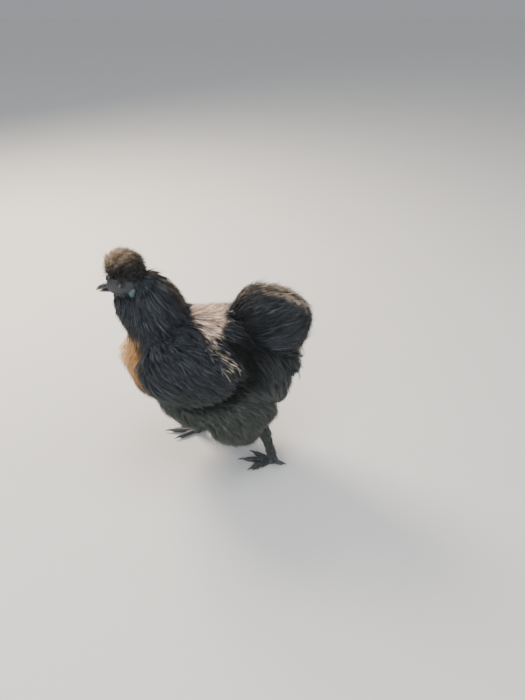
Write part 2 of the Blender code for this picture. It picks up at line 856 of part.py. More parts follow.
def shank_room(side, ankle_y):
    """The box that the thigh's locks leave free for the shank."""
    out, hock_y = side * FOOT_SPREAD, ankle_y - shank_lean(side)
    front, back = min(ankle_y, hock_y) - SHANK_ROOM, max(ankle_y, hock_y) + SHANK_ROOM
    return box_region((out - SHANK_ROOM, front, 0.0), (out + SHANK_ROOM, back, SHANK_TOP))


def build_shank(name, side, ankle_y, bare_leg):
    out, lean = side * FOOT_SPREAD, shank_lean(side)
    path = (
        (out, ankle_y, 0.004, 0.90 * SHANK_RADIUS, SHANK_RADIUS),
        (out, ankle_y, 0.020, 0.92 * SHANK_RADIUS, 1.05 * SHANK_RADIUS),
        (out, ankle_y - 0.5 * lean, 0.045, SHANK_RADIUS, 1.1 * SHANK_RADIUS),
        (out, ankle_y - lean, 0.068, 1.3 * SHANK_RADIUS, 1.5 * SHANK_RADIUS),
        (out, ankle_y - 1.2 * lean, SHANK_TOP, 0.0, 0.0),
    )
    feathered = [(x, y, z, w + SHANK_FEATHERS, d + SHANK_FEATHERS) for x, y, z, w, d in path]
    form = Form(name, feathered, 7, 10, 0.0, core=path)
    above_foot = (Vector((0, 0, FOOT_TOP)), Vector((0, 0, -1)))
    below_thigh = (Vector((0, 0, SHANK_BARE_TOP)), Vector((0, 0, 1)))
    locks = grow_locks(form, SHANK_LOCKS, [above_foot, below_thigh])
    keep_inside(form.core, [above_foot])
    cut_clear(form.core, bare_leg)
    bpy.data.objects.remove(bare_leg)
    return combine(form.core, locks, "UNION")


def build_face(side, word, skull):
    """An earlobe and a wattle, each against the side of the skull."""
    lean = Matrix.Rotation(math.radians(-LOBE_LEAN), 3, "X")
    place = Vector((side * LOBE_PLACE.x, LOBE_PLACE.y, LOBE_PLACE.z))
    lobe = ball("earlobe_" + word, place, LOBE_SIZE, 10, 6, lean)
    place = Vector((side * WATTLE_PLACE.x, WATTLE_PLACE.y, WATTLE_PLACE.z))
    wattle = ball("wattle_" + word, place, WATTLE_SIZE, 8, 6)
    return cut_clear(lobe, skull), cut_clear(wattle, skull)


def main():
    clear_scene()
    plumed = [build_torso(), build_neck(), build_tail()]
    plumed += [build_wing("wing_left", 1), build_wing("wing_right", -1)]
    bills = [
        build_bill("bill_upper", upper_bill_outline()),
        build_bill("bill_lower", lower_bill_outline()),
    ]
    eyes = []
    for side, word in SIDES:
        place = Vector((side * EYE_PLACE.x, EYE_PLACE.y, EYE_PLACE.z))
        eyes.append(ball("eye_" + word, place, Vector((1, 1, 1)) * EYE_RADIUS, 12, 8))
    head = build_head(eyes, bills)
    skull = loft("skull", head_outline(), 10, 14)
    comb = build_comb(skull)
    crest = build_crest()
    lobes, wattles, legs = [], [], []
    for side, word in SIDES:
        lobe, wattle = build_face(side, word, skull)
        lobes.append(lobe)
        wattles.append(wattle)
        ankle_y = LEFT_ANKLE_Y if side > 0 else RIGHT_ANKLE_Y
        outline = left_thigh_outline() if side > 0 else right_thigh_outline()
        thigh, bare_leg = build_thigh("thigh_" + word, outline, shank_room(side, ankle_y))
        plumed.append(thigh)
        legs.append(build_foot("foot_" + word, side, ankle_y))
        legs.append(build_shank("shank_" + word, side, ankle_y, bare_leg))
    bpy.data.objects.remove(skull)
    for group, finish in (
        (plumed, PLUMAGE),
        ([crest], CREST_PLUMAGE),
        ([head, comb] + wattles, FACE_SKIN),
        (lobes, LOBE_SKIN),
        (bills, HORN),
        (eyes, EYE_GLOSS),
        (legs, LEG_SKIN),
    ):
        for obj in group:
            obj.data.transform(Matrix.Translation(BOX_SHIFT))
            finish_node(obj, finish)


main()
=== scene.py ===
import math
from contextlib import contextmanager
from functools import reduce

import bmesh
import bpy
import numpy as np
from mathutils import Matrix, Vector, noise
from mathutils.bvhtree import BVHTree


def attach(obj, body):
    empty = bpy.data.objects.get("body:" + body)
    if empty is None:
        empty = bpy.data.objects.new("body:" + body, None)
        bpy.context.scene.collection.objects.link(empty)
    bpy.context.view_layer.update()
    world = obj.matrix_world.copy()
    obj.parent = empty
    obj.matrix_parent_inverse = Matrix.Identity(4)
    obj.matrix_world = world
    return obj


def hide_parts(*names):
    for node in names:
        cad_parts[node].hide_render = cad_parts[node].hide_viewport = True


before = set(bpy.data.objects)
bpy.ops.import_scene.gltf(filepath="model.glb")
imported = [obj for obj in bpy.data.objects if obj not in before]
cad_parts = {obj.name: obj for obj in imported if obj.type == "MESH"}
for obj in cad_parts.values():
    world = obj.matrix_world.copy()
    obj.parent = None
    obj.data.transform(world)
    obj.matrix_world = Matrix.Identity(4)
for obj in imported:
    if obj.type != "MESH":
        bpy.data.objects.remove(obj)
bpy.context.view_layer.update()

# Silkie hen, standing. Metres, +Z up, head towards -Y, the hen's left at +X.

sideNames = ((1, "left"), (-1, "right"))
scene = bpy.context.scene

print("camera")

cameraSettings = {
    "place": (0.756, 0.080, 0.700),
    "lookDown": 34.0,  # degrees under the horizon, looking along -X
    "lens": 31.9,
    "sensor": 36.0,
}


def makeCamera(settings):
    data = bpy.data.cameras.new("camera")
    data.lens = settings["lens"]
    data.sensor_width = settings["sensor"]
    camera = linked("camera", data)
    down = math.radians(settings["lookDown"])
    camera.location = settings["place"]
    camera.rotation_euler = Vector((-math.cos(down), 0, -math.sin(down))).to_track_quat("-Z", "Y").to_euler()
    scene.camera = camera


# Mesh helpers.


@contextmanager
def edited(mesh, write=True):
    work = bmesh.new()
    work.from_mesh(mesh)
    yield work
    if write:
        work.to_mesh(mesh)
    work.free()


def linked(name, data):
    obj = bpy.data.objects.new(name, data)
    scene.collection.objects.link(obj)
    return obj


def meshFrom(name, points, faces):
    mesh = bpy.data.meshes.new(name)
    mesh.from_pydata([tuple(map(float, p)) for p in points], [], faces)
    with edited(mesh) as work:
        bmesh.ops.recalc_face_normals(work, faces=work.faces)
    return linked(name, mesh)


def applyModifiers(obj):
    graph = bpy.context.evaluated_depsgraph_get()
    mesh = bpy.data.meshes.new_from_object(obj.evaluated_get(graph))
    obj.modifiers.clear()
    obj.data = mesh
    return obj


def joined(name, parts):
    mesh = bpy.data.meshes.new(name)
    with edited(mesh) as work:
        for part in parts:
            work.from_mesh(part.data)
            bpy.data.objects.remove(part)
    return linked(name, mesh)


def remeshed(obj, voxel, smoothing):
    remesh = obj.modifiers.new("skin", "REMESH")
    remesh.mode = "VOXEL"
    remesh.voxel_size = voxel
    relax = obj.modifiers.new("relax", "SMOOTH")
    relax.iterations = smoothing
    relax.factor = 0.5
    return applyModifiers(obj)


def booleanWith(obj, others, operation):
    group = bpy.data.collections.new("operands")
    scene.collection.children.link(group)
    for other in others:
        group.objects.link(other)
    step = obj.modifiers.new("combine", "BOOLEAN")
    step.operation = operation
    step.operand_type = "COLLECTION"
    step.collection = group
    step.solver = "MANIFOLD"
    applyModifiers(obj)
    for other in others:
        bpy.data.objects.remove(other)
    bpy.data.collections.remove(group)
    return obj


def largestShell(obj):
    with edited(obj.data) as work:
        bmesh.ops.remove_doubles(work, verts=work.verts, dist=1e-7)
        left = set(work.verts)
        shells = []
        while left:
            start = left.pop()
            shell, frontier = [start], [start]
            while frontier:
                for edge in frontier.pop().link_edges:
                    fresh = [vert for vert in edge.verts if vert in left]
                    left.difference_update(fresh)
                    shell += fresh
                    frontier += fresh
            shells.append(shell)
        shells.sort(key=len)
        for shell in shells[:-1]:
            bmesh.ops.delete(work, geom=shell, context="VERTS")
        bmesh.ops.triangulate(work, faces=work.faces)
    return obj


def treeOf(obj):
    with edited(obj.data, write=False) as work:
        return BVHTree.FromBMesh(work)


def markPoints(obj, word, values):
    mark = obj.data.attributes.new(word, "FLOAT", "POINT")
    mark.data.foreach_set("value", np.asarray(values, np.float32))


def mirrored(place, side):
    return Vector((side * place[0], *place[1:]))


def finishPiece(obj, slot, *nodes, finish=None):
    if finish:
        obj.data.materials.clear()
        obj.data.materials.append(finish)
    obj.data.shade_smooth()
    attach(obj, "root")
    if nodes:
        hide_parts(*nodes)


makeCamera(cameraSettings)

# Lofted forms. A station is x, y, z, half width and half depth, with x left out on the middle plane.


def curveThrough(rows, along):
    place = min(max(along, 0.0), 1.0) * (len(rows) - 1)
    i = min(int(place), len(rows) - 2)
    t = place - i
    a, b, c, d = rows[max(i - 1, 0)], rows[i], rows[i + 1], rows[min(i + 2, len(rows) - 1)]
    return 0.5 * (2 * b + (c - a) * t + (2 * a - 5 * b + 4 * c - d) * t * t + (3 * b - a - 3 * c + d) * t**3)


def loft(name, stations, rings, sides, inset=0.0, heading=None, across=Vector((1, 0, 0))):
    stations = [(0.0,) * (5 - len(row)) + tuple(row) for row in stations]
    rows = np.array([(x, y, z, w * w, d * d) for x, y, z, w, d in stations])
    points = [Vector(stations[0][:3])]
    for i in range(1, rings):
        along = 0.5 - 0.5 * math.cos(math.pi * i / rings)
        row = curveThrough(rows, along)
        run = Vector(curveThrough(rows, along + 0.02)[:3]) - Vector(curveThrough(rows, along - 0.02)[:3])
        upward = across.cross(heading or run).normalized()
        wide, deep = (math.sqrt(max(size, 1e-8)) for size in row[3:])
        for j in range(sides):
            turn = 2 * math.pi * j / sides
            points.append(Vector(row[:3]) + across * wide * math.sin(turn) + upward * deep * math.cos(turn))
    points.append(Vector(stations[-1][:3]))
    last = len(points) - 1
    faces = []
    for j in range(sides):
        k = (j + 1) % sides
        faces.append((0, 1 + j, 1 + k))
        faces.append((last, last - sides + k, last - sides + j))
        for a in range(1, 1 + (rings - 2) * sides, sides):
            faces.append((a + j, a + sides + j, a + sides + k, a + k))
    obj = meshFrom(name, points, faces)
    if inset:
        with edited(obj.data) as work:
            work.normal_update()
            for vertex, move in [(v, v.normal * inset * min(v.calc_shell_factor(), 3.0)) for v in work.verts]:
                vertex.co -= move
    return obj


def ball(name, place, size, segments=24, rings=16, turn=Matrix.Identity(3)):
    mesh = bpy.data.meshes.new(name)
    with edited(mesh) as work:
        bmesh.ops.create_uvsphere(work, u_segments=segments, v_segments=rings, radius=1.0)
        shape = turn.to_4x4() @ Matrix.Diagonal((*size, 1.0))
        bmesh.ops.transform(work, matrix=Matrix.Translation(place) @ shape, verts=work.verts)
    return linked(name, mesh)


print("forms")

# A form's coat is how far its skin lies inside its outline.
torsoSettings = {
    "front": -0.128,
    "length": 0.253,
    "coat": 0.010,
    "profile": (  # share of the length, top, bottom, half width
        (0.00, 0.178, 0.178, 0),
        (0.06, 0.213, 0.148, 0.041),
        (0.16, 0.237, 0.120, 0.060),
        (0.30, 0.256, 0.098, 0.070),
        (0.46, 0.262, 0.082, 0.073),
        (0.62, 0.260, 0.070, 0.073),
        (0.76, 0.246, 0.066, 0.069),
        (0.88, 0.212, 0.076, 0.058),
        (0.96, 0.172, 0.094, 0.040),
        (1.00, 0.132, 0.132, 0),
    ),
}
neckSettings = {
    "coat": 0.010,
    "levels": (  # height, front, back, half width
        (0.168, -0.060, -0.060, 0),
        (0.190, -0.110, -0.004, 0.054),
        (0.215, -0.115, -0.006, 0.056),
        (0.240, -0.118, -0.016, 0.053),
        (0.262, -0.125, -0.025, 0.046),
        (0.282, -0.122, -0.034, 0.037),
        (0.300, -0.106, -0.044, 0.029),
        (0.315, -0.092, -0.060, 0.019),
        (0.324, -0.078, -0.078, 0),
    ),
}
tailSettings = {
    "stations": (
        (0.036, 0.1760, 0, 0),
        (0.052, 0.1920, 0.044, 0.056),
        (0.072, 0.2140, 0.054, 0.071),
        (0.088, 0.2350, 0.056, 0.069),
        (0.114, 0.2525, 0.048, 0.050),
        (0.138, 0.2730, 0, 0),
    ),
    "coat": 0.020,
    "fanFrom": (0.0, 0.034, 0.180),
    "sweep": (0.0, 0.55, -0.22),
}
wingSettings = {
    "coat": 0.006,
    "shoulder": (-0.085, 0.202),
    "droop": 15.0,
    "lean": 8.0,
    "spans": (  # along the wing, out from the middle, half width, half depth
        (-0.006, 0.052, 0, 0),
        (0.010, 0.055, 0.021, 0.035),
        (0.042, 0.058, 0.023, 0.047),
        (0.080, 0.059, 0.022, 0.045),
        (0.112, 0.059, 0.017, 0.034),
        (0.138, 0.058, 0, 0),
    ),
}
thighSettings = {
    "coat": 0.010,
    1: (
        (0.036, 0.038, 0.158, 0, 0),
        (0.041, 0.040, 0.129, 0.035, 0.055),
        (0.042, 0.045, 0.102, 0.037, 0.061),
        (0.040, 0.050, 0.082, 0.032, 0.053),
        (0.036, 0.060, 0.065, 0.022, 0.036),
        (0.036, 0.074, 0.053, 0, 0),
    ),
    -1: (
        (-0.036, 0.024, 0.158, 0, 0),
        (-0.041, 0.020, 0.129, 0.035, 0.052),
        (-0.042, 0.012, 0.102, 0.037, 0.052),
        (-0.040, 0.003, 0.079, 0.030, 0.041),
        (-0.036, -0.007, 0.059, 0.021, 0.026),
        (-0.036, -0.017, 0.045, 0, 0),
    ),
}
throatSettings = {
    "stations": (
        (-0.104, 0.300, 0, 0),
        (-0.112, 0.290, 0.013, 0.012),
        (-0.109, 0.275, 0.021, 0.014),
        (-0.101, 0.258, 0.030, 0.016),
        (-0.092, 0.240, 0.030, 0.013),
        (-0.086, 0.225, 0, 0),
    ),
}
ventSettings = {
    "stations": (
        (0.060, 0.182, 0, 0),
        (0.080, 0.178, 0.037, 0.038),
        (0.091, 0.171, 0.039, 0.037),
        (0.101, 0.160, 0.031, 0.030),
        (0.109, 0.152, 0, 0),
    ),
}
bellySettings = {"middle": (0.0, -0.001, 0.118), "size": (0.066, 0.074, 0.045)}
crestSettings = {
    "coat": 0.0105,
    "middle": (0.0, -0.107, 0.3195),
    "stations": (
        (-0.1335, 0.3230, 0, 0),
        (-0.1260, 0.3240, 0.023, 0.0165),
        (-0.1115, 0.3275, 0.030, 0.0215),
        (-0.0985, 0.3255, 0.029, 0.0190),
        (-0.0885, 0.3215, 0.021, 0.0150),
        (-0.0810, 0.3145, 0, 0),
    ),
}
eyeSettings = {
    "place": (0.0131, -0.1110, 0.3050),
    "radius": 0.0046,
    "socket": 1.01,  # of the eye's radius
    "out": (1.0, -0.22, 0.03),
    "lidOut": 0.0022,
    "lidRadius": 0.0050,
    "lidThick": 0.0010,
    "opening": 0.80,  # height of the opening to its length
}
headSettings = {
    "stations": (
        (-0.1335, 0.2965, 0, 0),
        (-0.1300, 0.2970, 0.0084, 0.0096),
        (-0.1215, 0.2985, 0.0128, 0.0150),
        (-0.1100, 0.3005, 0.0157, 0.0184),
        (-0.0940, 0.3010, 0.0165, 0.0175),
        (-0.0700, 0.2990, 0, 0),
    ),
    "soft": {  # from the eye, size, tilt
        "brow": ((-0.0026, -0.0010, 0.0066), (0.0036, 0.0105, 0.0024), 0.10),
        "cheek": ((-0.0052, 0.0035, -0.0115), (0.0068, 0.0125, 0.0062), 0.0),
    },
    "gape": ((0.0046, -0.1262, 0.2932), (0.0030, 0.0052, 0.0036)),
    "voxel": 0.0006,
}


def torsoStations(settings):
    front, length = settings["front"], settings["length"]
    return [
        (front + share * length, (top + low) / 2, wide, (top - low) / 2)
        for share, top, low, wide in settings["profile"]
    ]


def neckStations(settings):
    return [((front + back) / 2, z, w, (back - front) / 2) for z, front, back, w in settings["levels"]]


def wingStations(settings, side):
    y, z = settings["shoulder"]
    fall = math.tan(math.radians(settings["droop"]))
    return [(side * out, y + along, z - along * fall, w, d) for along, out, w, d in settings["spans"]]


def eyePlace(side):
    return mirrored(eyeSettings["place"], side)


def eyeAxis(side):
    return mirrored(eyeSettings["out"], side).normalized()


def makeCores():
    up = Vector((0, 0, 1))
    cores = {
        "torso": loft("torso_core", torsoStations(torsoSettings), 40, 48, torsoSettings["coat"]),
        "neck": loft("neck_core", neckStations(neckSettings), 32, 44, neckSettings["coat"], up),
        "tail": loft("tail_core", tailSettings["stations"], 28, 40, tailSettings["coat"]),
        "throat": loft("throat_core", throatSettings["stations"], 20, 28),
        "vent": loft("vent_core", ventSettings["stations"], 24, 32),
        "belly": ball("belly_core", bellySettings["middle"], bellySettings["size"], 40, 28),
        "crest": loft("crest_core", crestSettings["stations"], 20, 32, crestSettings["coat"]),
    }
    lean = math.radians(wingSettings["lean"])
    for side, word in sideNames:
        across = Vector((math.cos(lean), 0, side * math.sin(lean)))
        spans = wingStations(wingSettings, side)
        cores["wing_" + word] = loft("wing_core", spans, 28, 32, wingSettings["coat"], None, across)
        cores["thigh_" + word] = loft("thigh_core", thighSettings[side], 28, 36, thighSettings["coat"])
    return cores


def lidRing(side, settings, around=40, tube=10):
    # An almond ring of flesh about the eye, thicker above.
    out = eyeAxis(side)
    ahead = Vector((0, -1, 0))
    ahead = (ahead - out * ahead.dot(out)).normalized()
    above = ahead.cross(out).normalized()
    if above.z < 0:
        above = -above
    middle = eyePlace(side) + out * settings["lidOut"]
    points, faces = [], []
    for i in range(around):
        turn = 2 * math.pi * i / around
        corner = abs(math.cos(turn)) ** 3
        spoke = ahead * math.cos(turn) * (1 + 0.12 * corner) + above * math.sin(turn) * settings["opening"]
        thick = settings["lidThick"] * (1.0 + 0.25 * max(0.0, math.sin(turn)))
        k = (i + 1) % around
        for j in range(tube):
            roll = 2 * math.pi * j / tube
            rim = settings["lidRadius"] + thick * math.cos(roll)
            points.append(middle + spoke * rim + out * (thick * 1.2 * math.sin(roll) - 0.0004 * corner))
            m = (j + 1) % tube
            faces.append((i * tube + j, k * tube + j, k * tube + m, i * tube + m))
    return meshFrom("lid", points, faces)


def makeHead(settings):
    parts = [loft("head", settings["stations"], 40, 44)]
    for side, word in sideNames:
        parts.append(lidRing(side, eyeSettings))
        for name, (place, size, tilt) in settings["soft"].items():
            turn = Matrix.Rotation(tilt, 3, "X")
            parts.append(ball(name, eyePlace(side) + mirrored(place, side), size, turn=turn))
        place, size = settings["gape"]
        parts.append(ball("gape", mirrored(place, side), size))
    head = remeshed(joined("head_skin", parts), settings["voxel"], 3)
    size = (eyeSettings["radius"] * eyeSettings["socket"],) * 3
    sockets = [ball("socket", eyePlace(side), size, 32, 24) for side, word in sideNames]
    return booleanWith(head, sockets, "DIFFERENCE")


cores = makeCores()
coreTrees = {name: treeOf(obj) for name, obj in cores.items()}
head = makeHead(headSettings)
coreTrees["head"] = treeOf(head)

print("skin")

skinSettings = {"voxel": 0.0024, "smoothing": 8}
mouthSettings = {
    "line": ((-0.1275, 0.2930), (-0.1225, 0.2922), (-0.1170, 0.2900)),  # y, z, back from the bill's corner
    "end": -0.1165,
    "fade": 0.003,
    "depth": 0.0010,
    "width": 0.0006,
}


def makeSkin(settings):
    body = remeshed(joined("body_skin", list(cores.values())), settings["voxel"], settings["smoothing"])
    return largestShell(booleanWith(body, [head], "UNION"))


def creaseMouth(obj, settings):
    # Presses the line of the mouth into both cheeks, and marks it for painted shade in the skin's finish.
    marks = np.zeros(len(obj.data.vertices))
    for vertex in obj.data.vertices:
        x, y, z = vertex.co
        if -0.130 < y < -0.113 and 0.286 < z < 0.297 and abs(x) > 0.003:
            near = 1.0
            for a, b in zip(settings["line"][:-1], settings["line"][1:]):
                run, place = Vector(b) - Vector(a), Vector((y, z)) - Vector(a)
                share = min(max(place.dot(run) / run.length_squared, 0.0), 1.0)
                near = min(near, (place - run * share).length)
            fade = min(max((settings["end"] - y) / settings["fade"], 0.0), 1.0)
            mark = fade * math.exp(-((near / settings["width"]) ** 2))
            vertex.co -= vertex.normal * settings["depth"] * mark
            marks[vertex.index] = mark
    markPoints(obj, "mouthCreaseShade", marks)


skin = makeSkin(skinSettings)
creaseMouth(skin, mouthSettings)
print("skin triangles", len(skin.data.polygons))

# A mesh's faces as arrays, and the form that each belongs to.


def unit(vectors):
    return vectors / np.maximum(np.linalg.norm(vectors, axis=-1, keepdims=True), 1e-12)


def eased(values, low, high):
    # From nothing at low to one at high, which may be the smaller.
    share = np.clip((values - low) / (high - low), 0.0, 1.0)
    return share * share * (3 - 2 * share)


def within(points, bands):
    # The share of a region at each place. A band is an axis, and where it starts and where it is full.
    share = 1.0
    for axis, start, full in bands:
        share = share * eased(points[:, axis], start, full)
    return share


def groundOf(obj):
    mesh = obj.data
    mesh.calc_loop_triangles()
    points = np.empty(len(mesh.vertices) * 3, np.float32)
    mesh.vertices.foreach_get("co", points)
    points = points.reshape(-1, 3).astype(float)
    faces = np.empty(len(mesh.loop_triangles) * 3, np.int32)
    mesh.loop_triangles.foreach_get("vertices", faces)
    corners = points[faces.reshape(-1, 3)]
    cross = np.cross(corners[:, 1] - corners[:, 0], corners[:, 2] - corners[:, 0])
    return {
        "points": points, "corners": corners, "middles": corners.mean(axis=1), "normals": unit(cross),
        "areas": np.linalg.norm(cross, axis=1) / 2, "tree": treeOf(obj),
    }


def distancesTo(name, points):
    nearest = coreTrees[name].find_nearest
    return np.array([nearest(p)[3] for p in map(Vector, points)])


formNames = list(coreTrees)
skinGround = groundOf(skin)
faceForm = np.stack([distancesTo(name, skinGround["middles"]) for name in formNames], axis=1).argmin(axis=1)

# The lie of the coat.

lieSettings = {  # bands of y (1) and z (2) for each stretch of the body
    "neck": ((2, 0.195, 0.235), (1, 0.020, -0.020)),
    "low": ((2, 0.120, 0.095),),
    "front": ((1, -0.070, -0.115),),
    "rump": ((1, 0.050, 0.095),),
    "head": ((2, 0.283, 0.295), (1, -0.085, -0.098)),
}


def bodyLie(p):
    # Down the neck and breast, back along the flanks, down over the rump and thighs.
    x = p[:, 0]
    neck, low, front, rump, head = (within(p, bands) for bands in lieSettings.values())
    front = front * (1 - low)
    head = head[:, None]
    ahead = 1.0 - 0.35 * neck - 0.80 * front - 0.55 * rump - 0.55 * low
    fall = -0.55 - 0.45 * neck - 0.80 * front - 0.7 * rump - 0.55 * low
    lie = np.stack([7.0 * x * (0.4 + rump), ahead, fall], axis=1)
    return unit(lie * (1 - head) + outward(x, 0.25, 1.0, -0.25) * head)


def outward(x, out, back, up):
    # One direction for each place, mirrored on the right.
    return np.stack([out * np.sign(x), back + 0 * x, up + 0 * x], axis=1)


def tailLie(p):
    return unit(unit(p - np.array(tailSettings["fanFrom"])) + np.array(tailSettings["sweep"]))


def fringeLie(p):
    return unit(outward(p[:, 0], 0.25, 0.66, -0.72))


def legLie(p):
    return unit(outward(p[:, 0], 0.7, 0.35, -1.0 + 0.7 * eased(p[:, 2], 0.020, 0.008)))


mantleSettings = {
    "edge": (  # the mantle's ragged hind edge on the side, from low in front to the saddle: y, z
        (-0.030, 0.134),
        (0.0185, 0.156),
        (0.046, 0.187),
        (0.047, 0.203),
        (0.030, 0.224),
        (0.004, 0.246),
    ),
    "flank": ((0, 0.026, 0.040), (2, 0.120, 0.140), (2, 0.256, 0.240)),  # where there is an edge
    "gap": 0.030,
    "lift": 0.030,
    # dark: the coat's brightness in the gap, as painted shade.
    "dark": 0.06,  # the coat's brightness in the gap
}
saddleSettings = {"start": -0.029, "slant": (0.75, -0.15)}  # along y, and its slope with x on each side


def behindMantle(p):
    # How far a place lies behind the mantle's edge, less than nothing in front of it.
    edge = np.array(mantleSettings["edge"])
    best = np.full(len(p), 9.0)
    signed = -best
    for a, b in zip(edge[:-1], edge[1:]):
        run = b - a
        share = np.clip(((p[:, 1:3] - a) @ run) / (run @ run), 0, 1)
        away = p[:, 1:3] - (a + share[:, None] * run)
        far = np.linalg.norm(away, axis=1)
        side = np.where(away @ np.array((run[1], -run[0])) >= 0, 1.0, -1.0)
        signed = np.where(far < best, far * side, signed)
        best = np.minimum(far, best)
    return signed


def mantleShare(p):
    # One on both flanks near the edge's run, nothing elsewhere.
    return within(abs(p), mantleSettings["flank"])


def aheadOfSaddle(p):
    # How far a place lies behind the hackle's end, less than nothing in front of it.
    left, right = saddleSettings["slant"]
    return p[:, 1] - saddleSettings["start"] - np.maximum(left * p[:, 0], right * p[:, 0])


# Coat strands, as joined closed prisms.

strandSettings = {
    "root": 0.0012,  # how deep a strand starts in the skin
    "floor": 0.0012,  # its lowest point
    "patch": 0.003,  # a tuft's size on OFBake
    "reach": (0.5, 1.12),  # how far the last stretch goes, as a share
    "thickness": (0.65, 1.35),
    "roll": 0.8,
    "bends": (2.6, 2.1),  # a curl's turn from root to tip, aside and over
    "overCurl": 0.6,
}


def strandTemplate(sections):
    faces = [(0, 2, 1)]
    for low in range(0, 3 * (sections - 1), 3):
        for a, b in ((0, 1), (1, 2), (2, 0)):
            faces += [(low + a, low + b, low + 3 + b), (low + a, low + 3 + b, low + 3 + a)]
    top, tip = 3 * (sections - 1), 3 * sections
    return np.array(faces + [(top, top + 1, tip), (top + 1, top + 2, tip), (top + 2, top, tip)])


def scatterRoots(ground, mask, count, draw):
    # Places on the masked faces, evenly by area, with each one's normal.
    faces = np.nonzero(mask)[0]
    share = np.cumsum(ground["areas"][faces])
    picks = (np.arange(count) + draw.random(count)) / count * share[-1]
    chosen = faces[np.searchsorted(share, picks).clip(0, len(faces) - 1)]
    a, b = draw.random(count), draw.random(count)
    over = a + b > 1
    a[over], b[over] = 1 - a[over], 1 - b[over]
    corners = ground["corners"][chosen]
    first = corners[:, 0]
    roots = first + (corners[:, 1] - first) * a[:, None] + (corners[:, 2] - first) * b[:, None]
    return roots, ground["normals"][chosen]


def layPaths(ground, roots, normals, lieAt, coat, lengths, heights, draw):
    # Each tuft's line over the skin, rising to its height at the tip.
    sections = coat["sections"]
    path = np.empty((len(roots), sections + 1, 3))
    upward = np.empty_like(path)
    path[:, 0], upward[:, 0] = roots - normals * strandSettings["root"], normals
    lean = draw.normal(0, coat["scatter"], roots.shape)
    heading = lieAt(roots) + lean
    heading = unit(heading - normals * (heading * normals).sum(axis=1)[:, None])
    surface = roots.copy()
    for k in range(1, sections + 1):
        aim = surface + heading * (lengths / sections)[:, None]
        found = [ground["tree"].find_nearest(p) for p in map(Vector, aim)]
        surface = np.array([f[0] for f in found])
        facing = unit(np.array([f[1] for f in found]) + 0.8 * upward[:, k - 1])
        rise = heights * (k / sections) ** 0.8
        path[:, k] = surface + facing * rise[:, None]
        upward[:, k] = facing
        heading = heading + 0.30 * (lieAt(surface) + lean)
        heading = unit(heading - facing * (heading * facing).sum(axis=1)[:, None])
    return path, upward


def unwrapOf(roots, axis):
    # A turn about the form's own axis and a run along it.
    low, high = map(Vector, axis)
    run = (high - low).normalized()
    side = Vector((1, 0, 0)) if abs(run.x) < 0.9 else Vector((0, 1, 0))
    side = (side - run * side.dot(run)).normalized()
    offset = roots - np.array(low)
    along = offset @ np.array(run) / (high - low).length
    turn = np.arctan2(offset @ np.array(run.cross(side)), offset @ np.array(side)) / (2 * math.pi) + 0.5
    return np.stack([0.01 + 0.98 * turn, np.clip(0.01 + 0.98 * along, 0.004, 0.996)], axis=1)


def strandCorners(path, upward, coat, own, draw):
    # The corners of every strand, spread at the root and gathered to the tip.
    count, sections = len(own), coat["sections"]

    def drawn(low, high):
        return draw.uniform(low, high, count)[:, None, None]

    points, facing = path[own], upward[own]
    heading = unit(np.gradient(points, axis=1))
    aside = unit(np.cross(facing, heading))
    facing = unit(np.cross(heading, aside))
    share = np.linspace(0, 1, sections + 1)[None, :, None]
    across, along, over = (drawn(*ends) * coat["spread"] for ends in ((-1, 1), (-1, 1), (-0.4, 0.6)))
    loose = draw.random(count)[:, None, None] < coat["loose"]
    over = over + np.where(loose, 1.1 * coat["spread"], 0.0)
    gather = 1 - coat["gather"] * share**1.2
    wave = drawn(0, 2 * math.pi)
    curl = draw.normal(0, coat["curl"], count)[:, None, None] * share
    points = points + aside * across * gather + heading * along + facing * over * share
    sideBend, overBend = strandSettings["bends"]
    points = points + aside * curl * np.sin(wave + sideBend * share)
    points = points + facing * curl * strandSettings["overCurl"] * np.cos(wave + overBend * share)
    reach = draw.uniform(*strandSettings["reach"], count)[:, None]
    points[:, -1] = points[:, -2] + (points[:, -1] - points[:, -2]) * reach
    points[:, :, 2] = np.maximum(points[:, :, 2], strandSettings["floor"])
    width = coat["width"] * draw.uniform(*strandSettings["thickness"], count)
    roll = drawn(-strandSettings["roll"], strandSettings["roll"])
    flat = aside * np.cos(roll) + facing * np.sin(roll)
    ridge = facing * np.cos(roll) - aside * np.sin(roll)
    verts = np.empty((count, 3 * sections + 1, 3), np.float32)
    for k in range(sections):
        taper = 0.72 + 0.28 * math.sin(math.pi * (k + 0.4) / sections)
        half = (width * taper / 2)[:, None]
        verts[:, 3 * k] = points[:, k] - flat[:, k] * half
        verts[:, 3 * k + 1] = points[:, k] + flat[:, k] * half
        verts[:, 3 * k + 2] = points[:, k] + ridge[:, k] * half * 0.8
    verts[:, -1] = points[:, -1]
    return verts


